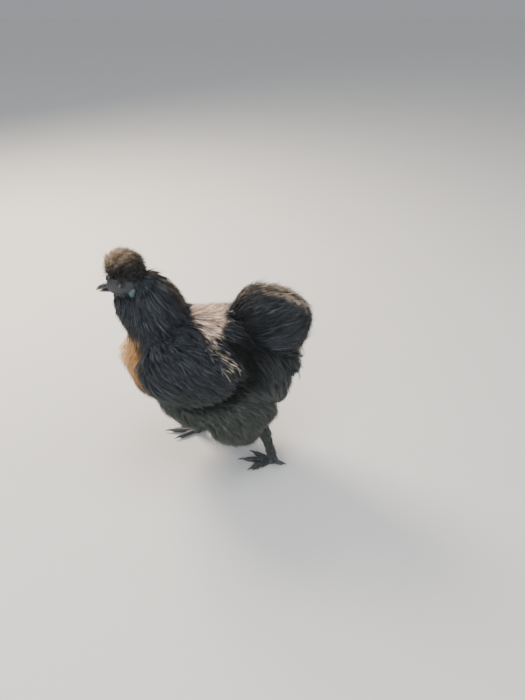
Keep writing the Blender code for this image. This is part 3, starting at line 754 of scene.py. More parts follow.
def makeCoat(name, path, upward, coat, draw, uvRoots, shade=1.0):
    tufts, each, sections = len(path), coat["strands"], coat["sections"]
    own = np.repeat(np.arange(tufts), each)
    verts = strandCorners(path, upward, coat, own, draw)
    count, corners = verts.shape[:2]
    template = strandTemplate(sections)
    tri = verts[:400][:, template] - verts[:400].mean(axis=1)[:, None, None]
    if np.linalg.det(tri.astype(float)).sum() < 0:
        template = template[:, ::-1]
    faces = (template[None] + (np.arange(count) * corners)[:, None, None]).reshape(-1)
    mesh = bpy.data.meshes.new(name)
    mesh.vertices.add(count * corners)
    mesh.vertices.foreach_set("co", verts.reshape(-1))
    mesh.loops.add(len(faces))
    mesh.loops.foreach_set("vertex_index", faces.astype(np.int32))
    mesh.polygons.add(len(faces) // 3)
    mesh.polygons.foreach_set("loop_start", np.arange(0, len(faces), 3, dtype=np.int32))
    mesh.update(calc_edges=True)
    obj = linked(name, mesh)
    tone = np.repeat(draw.random(tufts), each) * 0.58 + draw.random(count) * 0.42
    shares = np.array([k / sections for k in range(sections) for _ in range(3)] + [1.0])
    markPoints(obj, "tone", np.repeat(tone, corners))
    markPoints(obj, "toTip", np.tile(shares, count))
    markPoints(obj, "shade", np.repeat((np.ones(tufts) * shade)[own], corners))
    # The share of the back's painted sunlight that this coat may carry.
    markPoints(obj, "sunlitSaddle", np.full(count * corners, coat["sunlitSaddle"]))
    # The share of painted sunlight on each tuft.
    markPoints(obj, "paintedLight", np.repeat((coat["paintedLight"] * draw.random(tufts) ** 0.6)[own], corners))
    patch = strandSettings["patch"]
    local = np.empty((count, corners, 2))
    local[:, :, 0] = ((np.tile(np.arange(each), tufts) + 0.5) / each - 0.5)[:, None] * patch
    local[:, :, 0] += np.array([-0.3, 0.3, 0.0] * sections + [0.0])[None] * patch / each
    local[:, :, 1] = (shares - 0.5)[None] * patch
    uvs = uvRoots[own][:, None, :] + local
    layer = mesh.uv_layers.new(name="OFBake")
    layer.data.foreach_set("uv", uvs.reshape(-1, 2)[faces].reshape(-1).astype(np.float32))
    print(name, tufts, "tufts", len(faces) // 3, "triangles")
    return obj


# Node helpers.


class Signal:
    # A node's output: sums written with it become nodes of its tree.
    def __init__(self, socket):
        self.socket = socket

    def maths(self, kind, other):
        return signal(self.socket.id_data, "ShaderNodeMath", {"operation": kind}, {0: self, 1: other})

    def __add__(self, other):
        return self.maths("ADD", other)

    def __sub__(self, other):
        return self.maths("SUBTRACT", other)

    def __mul__(self, other):
        return self.maths("MULTIPLY", other)

    def eased(self, low, high):
        inputs = {"Value": self, "From Min": low, "From Max": high}
        return signal(self.socket.id_data, "ShaderNodeMapRange", {"interpolation_type": "SMOOTHSTEP"}, inputs)

    def scaled(self, low, high):
        inputs = {"Value": self, "To Min": low, "To Max": high}
        return signal(self.socket.id_data, "ShaderNodeMapRange", None, inputs)


def feed(made, inputs):
    for key, value in inputs.items():
        if isinstance(value, Signal):
            made.id_data.links.new(value.socket, made.inputs[key])
        else:
            made.inputs[key].default_value = value
    return made


def node(tree, kind, settings=None, inputs=None):
    made = tree.nodes.new(kind)
    for key, value in (settings or {}).items():
        setattr(made, key, value)
    return feed(made, inputs or {})


def signal(tree, kind, settings=None, inputs=None, out=0):
    return Signal(node(tree, kind, settings, inputs).outputs[out])


def vectorMaths(tree, kind, *values, out=0):
    return signal(tree, "ShaderNodeVectorMath", {"operation": kind}, dict(enumerate(values)), out)


def blended(share, first, second, kind="MIX"):
    return signal(share.socket.id_data, "ShaderNodeMix", {"data_type": "RGBA", "blend_type": kind},
                  {0: share, 6: first, 7: second}, 2)


def noiseIn(tree, place, scale, detail, **more):
    inputs = {"Vector": place, "Scale": scale, "Detail": detail, **more}
    return signal(tree, "ShaderNodeTexNoise", None, inputs, "Fac")


def attributeValue(tree, word):
    return signal(tree, "ShaderNodeAttribute", {"attribute_name": word}, None, "Fac")


def bumped(tree, strength, distance, height):
    inputs = {"Strength": strength, "Distance": distance, "Height": height}
    return signal(tree, "ShaderNodeBump", None, inputs)


def makeGroup(name, kind, inputs, output):
    # A node group with sockets given as word and kind, and its inputs as signals.
    tree = bpy.data.node_groups.new(name, kind)
    for word, socket in inputs.items():
        tree.interface.new_socket(word, in_out="INPUT", socket_type="NodeSocket" + socket)
    tree.interface.new_socket(output[0], in_out="OUTPUT", socket_type="NodeSocket" + output[1])
    enter = tree.nodes.new("NodeGroupInput")
    return tree, {word: Signal(enter.outputs[word]) for word in inputs}, tree.nodes.new("NodeGroupOutput")


def newMaterial(name):
    made = bpy.data.materials.new(name)
    made.use_nodes = True
    tree = made.node_tree
    return made, tree, tree.nodes["Principled BSDF"], signal(tree, "ShaderNodeTexCoord", out="Object")


# Materials.

plumageColours = {
    "charcoal": (0.047, 0.053, 0.060, 1),
    "tail": (0.043, 0.049, 0.055, 1),
    "thigh": (0.087, 0.101, 0.089, 1),
    # Painted backlight on the tail's upper rim, over a brown tint.
    "tailRimSunlight": (0.520, 0.425, 0.330, 1),
    # Painted rim light along the nape's ridge.
    "nape": (0.120, 0.088, 0.060, 1),
    "crestLow": (0.045, 0.043, 0.036, 1),
    # Painted sunlight on the crest's top, over a brown tint.
    "crest": (0.320, 0.236, 0.155, 1),
    # The breast's orange patch is a real marking brightened with painted sunlight; its pale core is painted
    # sunlight.
    "breast": (0.620, 0.330, 0.120, 1),
    "breastSunlitCore": (0.940, 0.660, 0.370, 1),
    # Painted sunlight on the back, over a brown tint.
    "sunlitSaddle": (0.800, 0.610, 0.480, 1),
    # Painted sheen: blue-grey highlights on single strands.
    "streak": (0.130, 0.155, 0.190, 1),
    # Painted sunlight on the fringe's strands.
    "sunlitCream": (0.720, 0.590, 0.450, 1),
}
markingAndLightSettings = {
    "drift": 0.030,  # how far noise moves the markings' edges
    "breastScale": (18.5, 0.0, 16.0),  # one over the patch's half size
    "breastMiddle": (0.0, 0.0, 2.93),  # in those units
    "tailMiddle": (0.0, 0.090, 0.222),
    # For each colour, from the lowest up: bands of a measure, and where each starts and is full.
    "edges": {
        "tail": (("y", 0.036, 0.050), ("z", 0.170, 0.200)),
        "thigh": (("z", 0.186, 0.128), ("y", -0.105, -0.062)),
        # The tail's upper rim: painted backlight, in patches.
        "tailRimSunlight": (
            ("fromTail", 0.054, 0.066),
            ("z", 0.250, 0.276),
            ("y", 0.165, 0.130),
            ("mixedY", 0.040, 0.054),
            ("besideRim", 0.026, 0.010),
            ("patches", 0.32, 0.47),
        ),
        # The nape's ridge: painted rim light.
        "nape": (("wide", 0.008, 0.002), ("z", 0.262, 0.274), ("y", -0.078, -0.066)),
        "crestLow": (("z", 0.312, 0.318), ("y", -0.072, -0.080)),
        # The crest's top: painted sunlight.
        "crest": (("crown", 0.327, 0.341), ("y", -0.072, -0.080)),
        # The breast's patch, a real marking with painted sunlight, and its painted sunlit core.
        "breast": (("fromBreast", 1.10, 0.94), ("y", -0.080, -0.092)),
        "breastSunlitCore": (("fromBreast", 1.10, 0.94), ("y", -0.080, -0.092), ("fromBreast", 0.85, 0.35)),
        # The back: painted sunlight.
        "sunlitSaddle": (("behindHackle", -0.037, -0.029), ("towardTail", 0.036, 0.028), ("mixedZ", 0.236, 0.244)),
    },
    "underTail": (("y", 0.085, 0.105), ("z", 0.225, 0.190)),
    "underTailShare": 0.40,  # of the thigh's colour
}


def plumageGroup(colours, settings):
    # The coat's markings by place, with painted sunlight, painted sheen and painted shade.
    inputs = {"Place": "Vector"} | dict.fromkeys(("Tone", "To Tip", "Shade", "Light", "Sunlit Saddle"), "Float")
    tree, entered, leave = makeGroup("plumageMarkingsAndLight", "ShaderNodeTree", inputs, ("Colour", "Color"))
    place, tone, toTip, paintedLight = (entered[word] for word in ("Place", "Tone", "To Tip", "Light"))
    drift = node(tree, "ShaderNodeTexNoise", None, {"Vector": place, "Scale": 55.0, "Detail": 3.0})
    centred = vectorMaths(tree, "SUBTRACT", Signal(drift.outputs["Color"]), (0.5, 0.5, 0.5))
    moved = vectorMaths(tree, "MULTIPLY_ADD", centred, (settings["drift"],) * 3, place)
    x, y, z = map(Signal, node(tree, "ShaderNodeSeparateXYZ", None, {0: moved}).outputs)
    wide = x.maths("ABSOLUTE", 0.0)
    onBreast = vectorMaths(tree, "MULTIPLY", moved, settings["breastScale"])
    fromBreast = vectorMaths(tree, "DISTANCE", onBreast, settings["breastMiddle"], out="Value")
    onTail = signal(tree, "ShaderNodeCombineXYZ", None, {1: y, 2: z})
    fromTail = vectorMaths(tree, "DISTANCE", onTail, settings["tailMiddle"], out="Value")

    def mixed(value, amount):
        # Strands of both colours on either side of a marking's edge.
        return value + (tone - 0.5) * amount

    measures = {
        "y": y,
        "z": z,
        "mixedY": mixed(y, 0.020),
        "mixedZ": mixed(z, 0.010),
        "wide": mixed(wide, 0.006),
        "crown": mixed(z - wide * 0.35 - (y + 0.108) * 0.32, 0.010),
        "behindHackle": mixed(y - x.maths("MAXIMUM", x * -0.15), 0.012),
        "towardTail": mixed(y - (z - 0.262) * 0.35, 0.010),
        "fromBreast": mixed(fromBreast, 0.50),
        "fromTail": mixed(fromTail, 0.020),
        "besideRim": mixed((x * 1.6).maths("MAXIMUM", x * -0.55) - y.eased(0.092, 0.122) * 0.010, 0.022),
        "patches": Signal(drift.outputs["Fac"]),
    }

    def shareOf(bands):
        shares = [measures[word].eased(start, full) for word, start, full in bands]
        return reduce(Signal.__mul__, shares)

    shares = {name: shareOf(bands) for name, bands in settings["edges"].items()}
    underTail = shareOf(settings["underTail"]) * settings["underTailShare"]
    shares["thigh"] = shares["thigh"].maths("MAXIMUM", underTail)
    # Only coats that may carry the back's painted sunlight get it.
    shares["sunlitSaddle"] = shares["sunlitSaddle"] * entered["Sunlit Saddle"]
    colour = colours["charcoal"]
    for name, share in shares.items():
        colour = blended(share, colour, colours[name])
    # Painted sheen on the brightest strands.
    colour = blended(tone.eased(0.80, 0.96) * 0.45, colour, colours["streak"], "LIGHTEN")
    # Painted sunlight towards the tips of the fringe's strands.
    colour = blended(paintedLight * toTip.eased(0.15, 0.65), colour, colours["sunlitCream"])
    strength = tone.scaled(0.32, 1.68) * toTip.scaled(0.62, 1.32) * entered["Shade"]
    shaded = signal(tree, "ShaderNodeVectorMath", {"operation": "SCALE"}, {0: colour, 3: strength})
    feed(leave, {"Colour": shaded})
    return tree


plumageMarkingsAndLight = plumageGroup(plumageColours, markingAndLightSettings)


def plumageMaterial(name):
    made, tree, shader, place = newMaterial(name)
    words = {"Tone": "tone", "To Tip": "toTip", "Shade": "shade", "Light": "paintedLight", "Sunlit Saddle": "sunlitSaddle"}
    inputs = {socket: attributeValue(tree, word) for socket, word in words.items()}
    colour = signal(tree, "ShaderNodeGroup", {"node_tree": plumageMarkingsAndLight}, {"Place": place, **inputs})
    feed(shader, {"Base Color": colour, "Roughness": 0.48, "Specular IOR Level": 0.28,
                  "Sheen Weight": 0.05, "Sheen Roughness": 0.4})
    return made


def skinMaterial(name):
    # Feathered skin carries the coat's own markings and painted light, darker; the bare face is creased
    # slate.
    made, tree, shader, place = newMaterial(name)
    bare = attributeValue(tree, "bare")
    colour = signal(tree, "ShaderNodeGroup", {"node_tree": plumageMarkingsAndLight},
                    {"Place": place, "Tone": 0.25, "To Tip": 0.1, "Shade": 0.8, "Light": 0.0, "Sunlit Saddle": 1.0})
    slate = blended(noiseIn(tree, place, 190.0, 5.0), (0.019, 0.022, 0.027, 1), (0.056, 0.061, 0.070, 1))
    # Painted shade along the mouth's crease.
    slate = blended(attributeValue(tree, "mouthCreaseShade") * 0.85, slate, (0.004, 0.004, 0.005, 1))
    cells = signal(tree, "ShaderNodeTexVoronoi", {"feature": "DISTANCE_TO_EDGE"},
                   {"Vector": place, "Scale": 1100.0})
    folds = noiseIn(tree, place, 420.0, 5.0, Roughness=0.6)
    feed(shader, {"Base Color": blended(bare, colour, slate), "Roughness": bare.scaled(0.80, 0.56),
                  "Normal": bumped(tree, 0.45, 0.0003, cells.eased(0.0, 0.25) + folds)})
    return made


def plainMaterial(name, colour, second, roughness, scale, bumpDepth, coat):
    # Skin or horn: two colours through fine noise, with pebbled cells as bump.
    made, tree, shader, place = newMaterial(name)
    mottle = noiseIn(tree, place, scale, 5.0)
    cells = signal(tree, "ShaderNodeTexVoronoi", None, {"Vector": place, "Scale": scale * 2.0})
    feed(shader, {"Base Color": blended(mottle, colour, second), "Coat Weight": coat,
                  "Roughness": mottle.scaled(roughness - 0.08, roughness + 0.08),
                  "Normal": bumped(tree, 0.6, bumpDepth, cells)})
    return made


finishSettings = {  # two colours, roughness, the grain's scale, the bumps' depth, and a coat of gloss
    "lobe_skin": ((0.042, 0.084, 0.087, 1), (0.098, 0.155, 0.157, 1), 0.50, 700, 0.0003, 0.0),
    "comb_skin": ((0.016, 0.012, 0.016, 1), (0.046, 0.030, 0.040, 1), 0.55, 600, 0.0003, 0.0),
    "leg_skin": ((0.030, 0.033, 0.038, 1), (0.066, 0.070, 0.078, 1), 0.50, 450, 0.0004, 0.0),
    "leg_scutes": ((0.036, 0.038, 0.044, 1), (0.082, 0.085, 0.094, 1), 0.42, 300, 0.0001, 0.0),
    "claw_horn": ((0.030, 0.029, 0.030, 1), (0.080, 0.075, 0.070, 1), 0.35, 500, 0.0001, 0.2),
}
plumage = plumageMaterial("plumage")
skinFinish = skinMaterial("body_skin")
finishes = {name: plainMaterial(name, *values) for name, values in finishSettings.items()}

faceSettings = {"hind": -0.0935, "low": 0.2880, "high": 0.3145}  # the bare face's ends along y and z


def bareFace(points):
    # One on the bare skin about the eye and bill, nothing under the coat.
    x, y, z = points.T
    hind, low, high = faceSettings.values()
    return eased(y, hind + 0.002, hind - 0.003) * eased(z, low - 0.003, low) * eased(z, high + 0.004, high)


markPoints(skin, "bare", bareFace(skinGround["points"]))
skin.name = "body_skin"
finishPiece(skin, "face_skin", "head", "neck", "torso", "tail", "crest",
            "wing_left", "wing_right", "thigh_left", "thigh_right", finish=skinFinish)

print("legs")

legSettings = {
    "spread": 0.036,
    "ankle": {1: 0.094, -1: -0.030},
    "lean": 0.012,
    "radius": 0.0056,
    "pad": (0.0085, 0.0095, 0.0052),
    "toeRadius": 0.0046,
    "toes": (  # turn from straight ahead, length, radius as a share
        (-32.0, 0.034, 0.92),
        (-2.0, 0.044, 1.00),
        (30.0, 0.036, 0.94),
        (158.0, 0.021, 0.80),
        (128.0, 0.022, 0.72),
    ),
    "fifthRise": 0.010,
    # Along a toe, as a share of its length, and its thickness there.
    "joints": ((0.20, 1.0), (0.32, 0.90), (0.45, 0.98), (0.58, 0.86), (0.72, 0.92), (0.88, 0.72), (0.98, 0)),
    # Along a claw, its rise and its thickness.
    "claw": (
        (0.86, 0.0002, 0),
        (0.93, 0.0006, 0.50),
        (1.05, 0.0010, 0.36),
        (1.16, 0.0004, 0.20),
        (1.24, -0.0010, 0),
    ),
    "toeLevel": 0.82,  # a toe's middle above the floor, to its radius
    "platedToe": (0.20, 0.68),  # the scutes' start and run along a toe
    "platedShare": 0.72,
    "platePitch": 0.0028,  # along a toe
    "toePlate": (0.72, 0.0019, 0.0009),  # half its width to the toe's, half its length and height
    "shankPlates": 18,  # in a column
    "platedShank": (0.16, 0.66),
    "shankPlate": (0.0023, 0.0025, 0.0009),
    "column": 0.42,  # turn from straight ahead
    "stagger": 0.10,
    "plateThickness": 0.8,
    "voxel": 0.0010,
}


def plateTree(material):
    # A flat scute on each point, turned and sized by the point's own marks.
    tree, entered, leave = makeGroup("scutePlates", "GeometryNodeTree",
                                     {"Points": "Geometry", "Thickness": "Float"}, ("Plates", "Geometry"))
    sphere = {"Segments": 12, "Rings": 8, "Radius": 1.0}
    plate = signal(tree, "GeometryNodeMeshUVSphere", None, sphere, "Mesh")
    kind = {"data_type": "FLOAT_VECTOR"}
    turn, size = (
        signal(tree, "GeometryNodeInputNamedAttribute", kind, {"Name": word}, "Attribute")
        for word in ("turn", "size")
    )
    flat = signal(tree, "ShaderNodeCombineXYZ", None, {0: 1.0, 1: 1.0, 2: entered["Thickness"]})
    placed = signal(tree, "GeometryNodeInstanceOnPoints", None, {
        "Points": entered["Points"], "Instance": plate, "Scale": vectorMaths(tree, "MULTIPLY", size, flat),
        "Rotation": signal(tree, "FunctionNodeEulerToRotation", None, {0: turn}),
    })
    real = signal(tree, "GeometryNodeRealizeInstances", None, {"Geometry": placed})
    finished = signal(tree, "GeometryNodeSetMaterial", None, {"Geometry": real, "Material": material})
    feed(leave, {"Plates": finished})
    return tree


scutePlates = plateTree(finishes["leg_scutes"])


def makePlates(name, spots, tree, thickness):
    # Each spot is a place, a matrix turning z outward, and half its width, length and height.
    mesh = bpy.data.meshes.new(name + "_spots")
    mesh.from_pydata([tuple(place) for place, turn, size in spots], [], [])
    turns = mesh.attributes.new("turn", "FLOAT_VECTOR", "POINT")
    sizes = mesh.attributes.new("size", "FLOAT_VECTOR", "POINT")
    turns.data.foreach_set("vector", [v for place, turn, size in spots for v in turn.to_euler()])
    sizes.data.foreach_set("vector", [v for place, turn, size in spots for v in size])
    obj = linked(name, mesh)
    step = obj.modifiers.new("plates", "NODES")
    step.node_group = tree
    step[tree.interface.items_tree["Thickness"].identifier] = thickness
    return applyModifiers(obj)


def turnTo(outward, along):
    z = outward.normalized()
    y = (along - z * along.dot(z)).normalized()
    return Matrix((y.cross(z), y, z)).transposed()


def shankStations(side, settings):
    out, y = side * settings["spread"], settings["ankle"][side]
    lean, r = side * settings["lean"], settings["radius"]
    return (
        (out, y, 0.004, 0.90 * r, r),
        (out, y, 0.020, 0.92 * r, 1.05 * r),
        (out, y - 0.5 * lean, 0.045, r, 1.1 * r),
        (out, y - lean, 0.068, 1.3 * r, 1.5 * r),
        (out, y - 1.2 * lean, 0.084, 0, 0),
    )


def makeToe(place, length, radius, rise, settings):
    # The toe, its claw, and the spots of its scutes.
    level = radius * settings["toeLevel"] + rise

    def laid(name, rows, rings, sides, wide=1.0):
        part = loft(name, [(-a * length, z, w * radius * wide, w * radius) for a, z, w in rows], rings, sides)
        part.data.transform(place)
        return part

    joints = [(0, settings["toeRadius"] + rise * 0.5, 0)] + [(a, level, w) for a, w in settings["joints"]]
    claw = [(a, level + up, w) for a, up, w in settings["claw"]]
    plates = []
    start, run = settings["platedToe"]
    wide, long, high = settings["toePlate"]
    count = int(length * settings["platedShare"] / settings["platePitch"])
    for i in range(count):
        a = start + run * (i + 0.5) / count
        thick = radius * (0.95 - 0.25 * max(0.0, a - 0.6) / 0.4)
        spot = place @ Vector((0, -a * length, level + thick * 0.86))
        turn = turnTo(place.to_3x3() @ Vector((0, -0.16, 1)), place.to_3x3() @ Vector((0, -1, 0)))
        plates.append((spot, turn, (thick * wide, long, high)))
    return laid("toe", joints, 30, 16), laid("claw", claw, 16, 12, 0.8), plates


def shankPlates(side, settings):
    # Two columns of scutes down the front of the shank.
    rows = np.array([(x, y, z, w * w, d * d) for x, y, z, w, d in shankStations(side, settings)])
    plates = []
    start, run = settings["platedShank"]
    stagger = settings["stagger"]
    for i in range(settings["shankPlates"]):
        row = curveThrough(rows, start + run * i / (settings["shankPlates"] - 1))
        wide, deep = math.sqrt(row[3]), math.sqrt(row[4])
        for column in (-1, 1):
            around = column * settings["column"] + (stagger if i % 2 else -stagger)
            spot = Vector(row[:3]) + Vector((math.sin(around) * wide, -math.cos(around) * deep, 0)) * 0.94
            turn = turnTo(Vector((math.sin(around), -math.cos(around), 0.12)), Vector((0, 0, -1)))
            plates.append((spot, turn, settings["shankPlate"]))
    return plates


def makeLeg(side, word, settings):
    out, y = side * settings["spread"], settings["ankle"][side]
    parts = [loft("shank", shankStations(side, settings), 24, 24),
             ball("pad", (out, y, settings["toeRadius"]), settings["pad"])]
    claws, plates = [], []
    for turn, length, share in settings["toes"]:
        rise = settings["fifthRise"] if turn == settings["toes"][-1][0] else 0.0
        place = Matrix.Translation((out, y, 0)) @ Matrix.Rotation(math.radians(side * turn), 4, "Z")
        toe, claw, scutes = makeToe(place, length, settings["toeRadius"] * share, rise, settings)
        parts.append(toe)
        claws.append(claw)
        plates += scutes
    leg = remeshed(joined("leg_skin_" + word, parts), settings["voxel"], 3)
    for vertex in leg.data.vertices:
        vertex.co.z = max(vertex.co.z, 0.0002)
    plates += shankPlates(side, settings)
    finishPiece(leg, "leg_skin", "shank_" + word, "foot_" + word, finish=finishes["leg_skin"])
    finishPiece(makePlates("scutes_" + word, plates, scutePlates, settings["plateThickness"]), "leg_skin")
    finishPiece(joined("claws_" + word, claws), "horn", finish=finishes["claw_horn"])
    return groundOf(leg)


legGround = {side: makeLeg(side, word, legSettings) for side, word in sideNames}

print("coat")

# A coat's axis is the one that its OFBake unwrap turns about. Proud is the share of the tufts that
# stand higher, and loose the share of the strands that stand off their tuft.
feathers = {
    "strands": 7, "sections": 3, "width": 0.00085, "spread": 0.0036, "gather": 0.55, "tall": 1.05,
    "proud": 0.04, "loose": 0.10, "scatter": 0.12, "sunlitSaddle": 1.0, "paintedLight": 0.0,
}
fluff = dict(feathers, strands=8, sections=2, width=0.0008, spread=0.0034, proud=0.12, loose=0.20)
torsoCoat = dict(feathers, axis=((0, -0.131, 0.165), (0, 0.125, 0.165)))
wingCoat = dict(feathers, tufts=760, length=0.042, height=0.0085, spread=0.0032, gather=0.62, curl=0.0008,
                sunlitSaddle=0.0)
thighCoat = dict(fluff, tufts=1250, length=0.024, height=0.0120, width=0.00075, spread=0.0032, gather=0.30,
                 curl=0.0018, loose=0.22)
tailCoat = dict(feathers, tufts=1250, length=0.049, height=0.0190, width=0.0009, spread=0.0040, gather=0.50,
                curl=0.0024, tall=1.20, proud=0.02, axis=((0, 0.038, 0.176), (0, 0.138, 0.286)))
legCoat = dict(feathers, tufts=330, strands=5, sections=2, length=0.015, height=0.0032, width=0.0007,
               spread=0.0018, gather=0.4, curl=0.0006, scatter=0.25)
coatSettings = {
    "neck": dict(feathers, tufts=1450, length=0.042, height=0.0100, spread=0.0034, gather=0.60, curl=0.0009,
                 seed=11, sunlitSaddle=0.0, axis=((0, -0.060, 0.175), (0, -0.080, 0.320))),
    "throat": dict(feathers, tufts=420, strands=6, length=0.022, height=0.0062, width=0.0008, spread=0.0026,
                   gather=0.50, curl=0.0007, seed=10, axis=((0, -0.090, 0.225), (0, -0.108, 0.300))),
    "torso_front": dict(torsoCoat, tufts=900, length=0.034, height=0.0078, curl=0.0010, seed=12),
    "torso_back": dict(torsoCoat, tufts=1500, length=0.038, height=0.0115, curl=0.0012, seed=13),
    "wing_left": dict(wingCoat, seed=14, axis=((0.058, -0.091, 0.203), (0.058, 0.065, 0.162))),
    "wing_right": dict(wingCoat, seed=15, axis=((-0.058, -0.091, 0.203), (-0.058, 0.065, 0.162))),
    "thigh_left": dict(thighCoat, seed=16, axis=((0.034, 0.040, 0.152), (0.036, 0.073, 0.047))),
    "thigh_right": dict(thighCoat, seed=17, axis=((-0.034, 0.024, 0.152), (-0.036, -0.017, 0.045))),
    "tail_left": dict(tailCoat, seed=21),
    "tail_right": dict(tailCoat, seed=23),
    "face": dict(feathers, tufts=1280, strands=5, sections=2, length=0.0070, height=0.0014, width=0.0005,
                 spread=0.0010, gather=0.4, curl=0.0002, seed=18,
                 axis=((0, -0.140, 0.297), (0, -0.070, 0.299))),
    # The fringe carries painted sunlight along the mantle's lit edge.
    "fringe": dict(torsoCoat, tufts=120, strands=2, sections=5, length=0.021, height=0.0150, width=0.00075,
                   spread=0.0018, gather=0.10, curl=0.0050, seed=24, paintedLight=0.9, scatter=0.20),
    "vent": dict(fluff, tufts=480, length=0.030, height=0.0090, gather=0.40, curl=0.0016, proud=0.03, seed=27,
                 axis=((0, 0.060, 0.182), (0, 0.128, 0.148))),
    "belly": dict(fluff, tufts=700, length=0.024, height=0.0090, gather=0.35, curl=0.0018, seed=28,
                  axis=((0, -0.080, 0.110), (0, 0.070, 0.110))),
    "leg_left": dict(legCoat, seed=25, axis=((0.036, 0.094, 0.0), (0.036, 0.088, 0.085))),
    "leg_right": dict(legCoat, seed=26, axis=((-0.036, -0.030, 0.0), (-0.036, -0.024, 0.085))),
}
crestCoat = dict(
    feathers, tufts=1400, strands=8, width=0.00052, spread=0.0026, gather=0.10, curl=0.0026, seed=22,
    axis=((0, -0.131, 0.322), (0, -0.075, 0.318)), low=0.40, high=1.22, sweep=(0.0, 0.30, 0.02),
    drape=(0.0, 0.20, -0.50), crown=0.3145, front=-0.1285, jitter=0.0035, hem=0.3140, hemSlope=0.45,
    hemInner=0.012)
maskSettings = {
    "torsoSplit": -0.055,  # the line along y between the torso's two coats
    "saddleLow": 0.232,
    "billEnd": -0.131,
    "eyeRing": 0.0075,
    "bare": 0.35,  # no coat where the face is barer than this
    "fringe": (-0.021, -0.003),  # behind the mantle's edge
    "fringeInner": 0.026,
    "fringeHeight": (0.204, 0.244),
    "fringeFront": -0.008,
}
regionSettings = {  # bands of y (1) and z (2)
    "underTail": ((1, 0.072, 0.098), (2, 0.207, 0.173)),
    "rump": ((1, 0.075, 0.100),),
    # tailFoot and tailFront bound the painted shade at the tail's foot and front.
    "tailFoot": ((1, 0.018, 0.034), (1, 0.078, 0.058), (2, 0.195, 0.215), (2, 0.262, 0.240)),
    "tailFront": ((1, 0.026, 0.032), (1, 0.062, 0.044), (2, 0.225, 0.240), (2, 0.284, 0.262)),
}


def between(values, low, high):
    return (values > low) & (values < high)


def coatMasks(settings):
    p = skinGround["middles"]
    x, y, z = p.T
    of = {name: faceForm == i for i, name in enumerate(formNames)}
    onSaddle = of["neck"] & (z > settings["saddleLow"]) & (aheadOfSaddle(p) > 0)
    onFace = of["head"] & (bareFace(p) < settings["bare"]) & (y > settings["billEnd"])
    for side, word in sideNames:
        onFace &= np.linalg.norm(p - np.array(eyePlace(side)), axis=1) >= settings["eyeRing"]
    fringe = of["torso"] | of["wing_left"] | of["wing_right"]
    fringe = fringe & between(behindMantle(p), *settings["fringe"])
    return of | {
        "neck": of["neck"] & ~onSaddle,
        "torso_front": of["torso"] & (y < settings["torsoSplit"]),
        "torso_back": of["torso"] & (y >= settings["torsoSplit"]) | onSaddle,
        "tail_left": of["tail"] & (x > 0),
        "tail_right": of["tail"] & (x <= 0),
        "face": onFace,
        "fringe": fringe & (abs(x) > settings["fringeInner"]) & between(z, *settings["fringeHeight"])
        & (y > settings["fringeFront"]),
    }


def legMask(side):
    ground, ankle = legGround[side], legSettings["ankle"][side]
    x, y, z = ground["middles"].T
    out, back, up = ground["normals"].T
    shank = (z > 0.018) & (out * side > -0.35)
    toes = (z < 0.018) & (up > 0.2) & (side * x > legSettings["spread"] - 0.002)
    return shank | (toes & (y < ankle - 0.006) & (y > ankle - 0.030))


def overlapped(roots, name):
    # Less height where a neighbouring form's coat lies over this one, more at the mantle's edge.
    z = roots[:, 2]
    factor = np.ones(len(roots))
    if name.startswith("torso"):
        near = 0.50 + 0.50 * eased(distancesTo("neck", roots), 0.002, 0.024)
        factor *= near + (1 - near) * eased(z, 0.228, 0.240)
    if name == "neck":
        factor *= 1.0 + 0.25 * eased(z, 0.225, 0.200)
    if name.startswith("tail"):
        factor *= 1.0 - 0.72 * within(roots, regionSettings["underTail"])
    if name == "torso_back":
        factor *= 1.0 - 0.55 * within(roots, regionSettings["rump"])
    if name.startswith(("torso", "wing", "thigh")):
        behind = behindMantle(roots)
        lower = 0.10 + 0.90 * eased(behind, 0.004, mantleSettings["gap"])
        raised = 1.0 + 0.75 * eased(behind, -mantleSettings["lift"], -0.002)
        factor *= 1 + mantleShare(roots) * (np.where(behind > 0, lower, raised) - 1)
    return factor


def fittedLengths(roots, lengths, name, draw):
    # Tips end near the mantle's edge and the saddle's start, unevenly, and short under the tail.
    count = len(roots)
    if name.startswith(("torso", "wing")):
        behind = behindMantle(roots)
        room = np.maximum(-behind + draw.uniform(-0.005, 0.007, count), 0.009)
        lengths = np.where((behind < 0) & (mantleShare(roots) > 0.5), np.minimum(lengths, room), lengths)
    if name == "neck":
        room = np.maximum(-aheadOfSaddle(roots) + draw.uniform(-0.003, 0.008, count), 0.012)
        lengths = np.where(roots[:, 1] > -0.075, np.minimum(lengths, room), lengths)
    if name.startswith("tail"):
        lengths = lengths * (1 - 0.40 * within(roots, regionSettings["underTail"]))
    if name == "torso_back":
        lengths = lengths * (1 - 0.30 * within(roots, regionSettings["rump"]))
    return lengths


def edgeShade(roots):
    # Painted shade in the gap behind the mantle, and at the tail's foot and front.
    behind, dark = behindMantle(roots), mantleSettings["dark"]
    upper = eased(roots[:, 2], 0.155, 0.180)  # the gap is wider here
    gap = dark + (1 - dark) * eased((behind - 0.004 - 0.008 * upper) / (0.011 + 0.011 * upper), 0, 1)
    foot, front = (within(roots, regionSettings[word]) for word in ("tailFoot", "tailFront"))
    tailShade = np.maximum(0.55 * foot, 0.60 * front)
    return (1 + mantleShare(roots) * (np.where(behind > 0, gap, 1.0) - 1)) * (1 - tailShade)


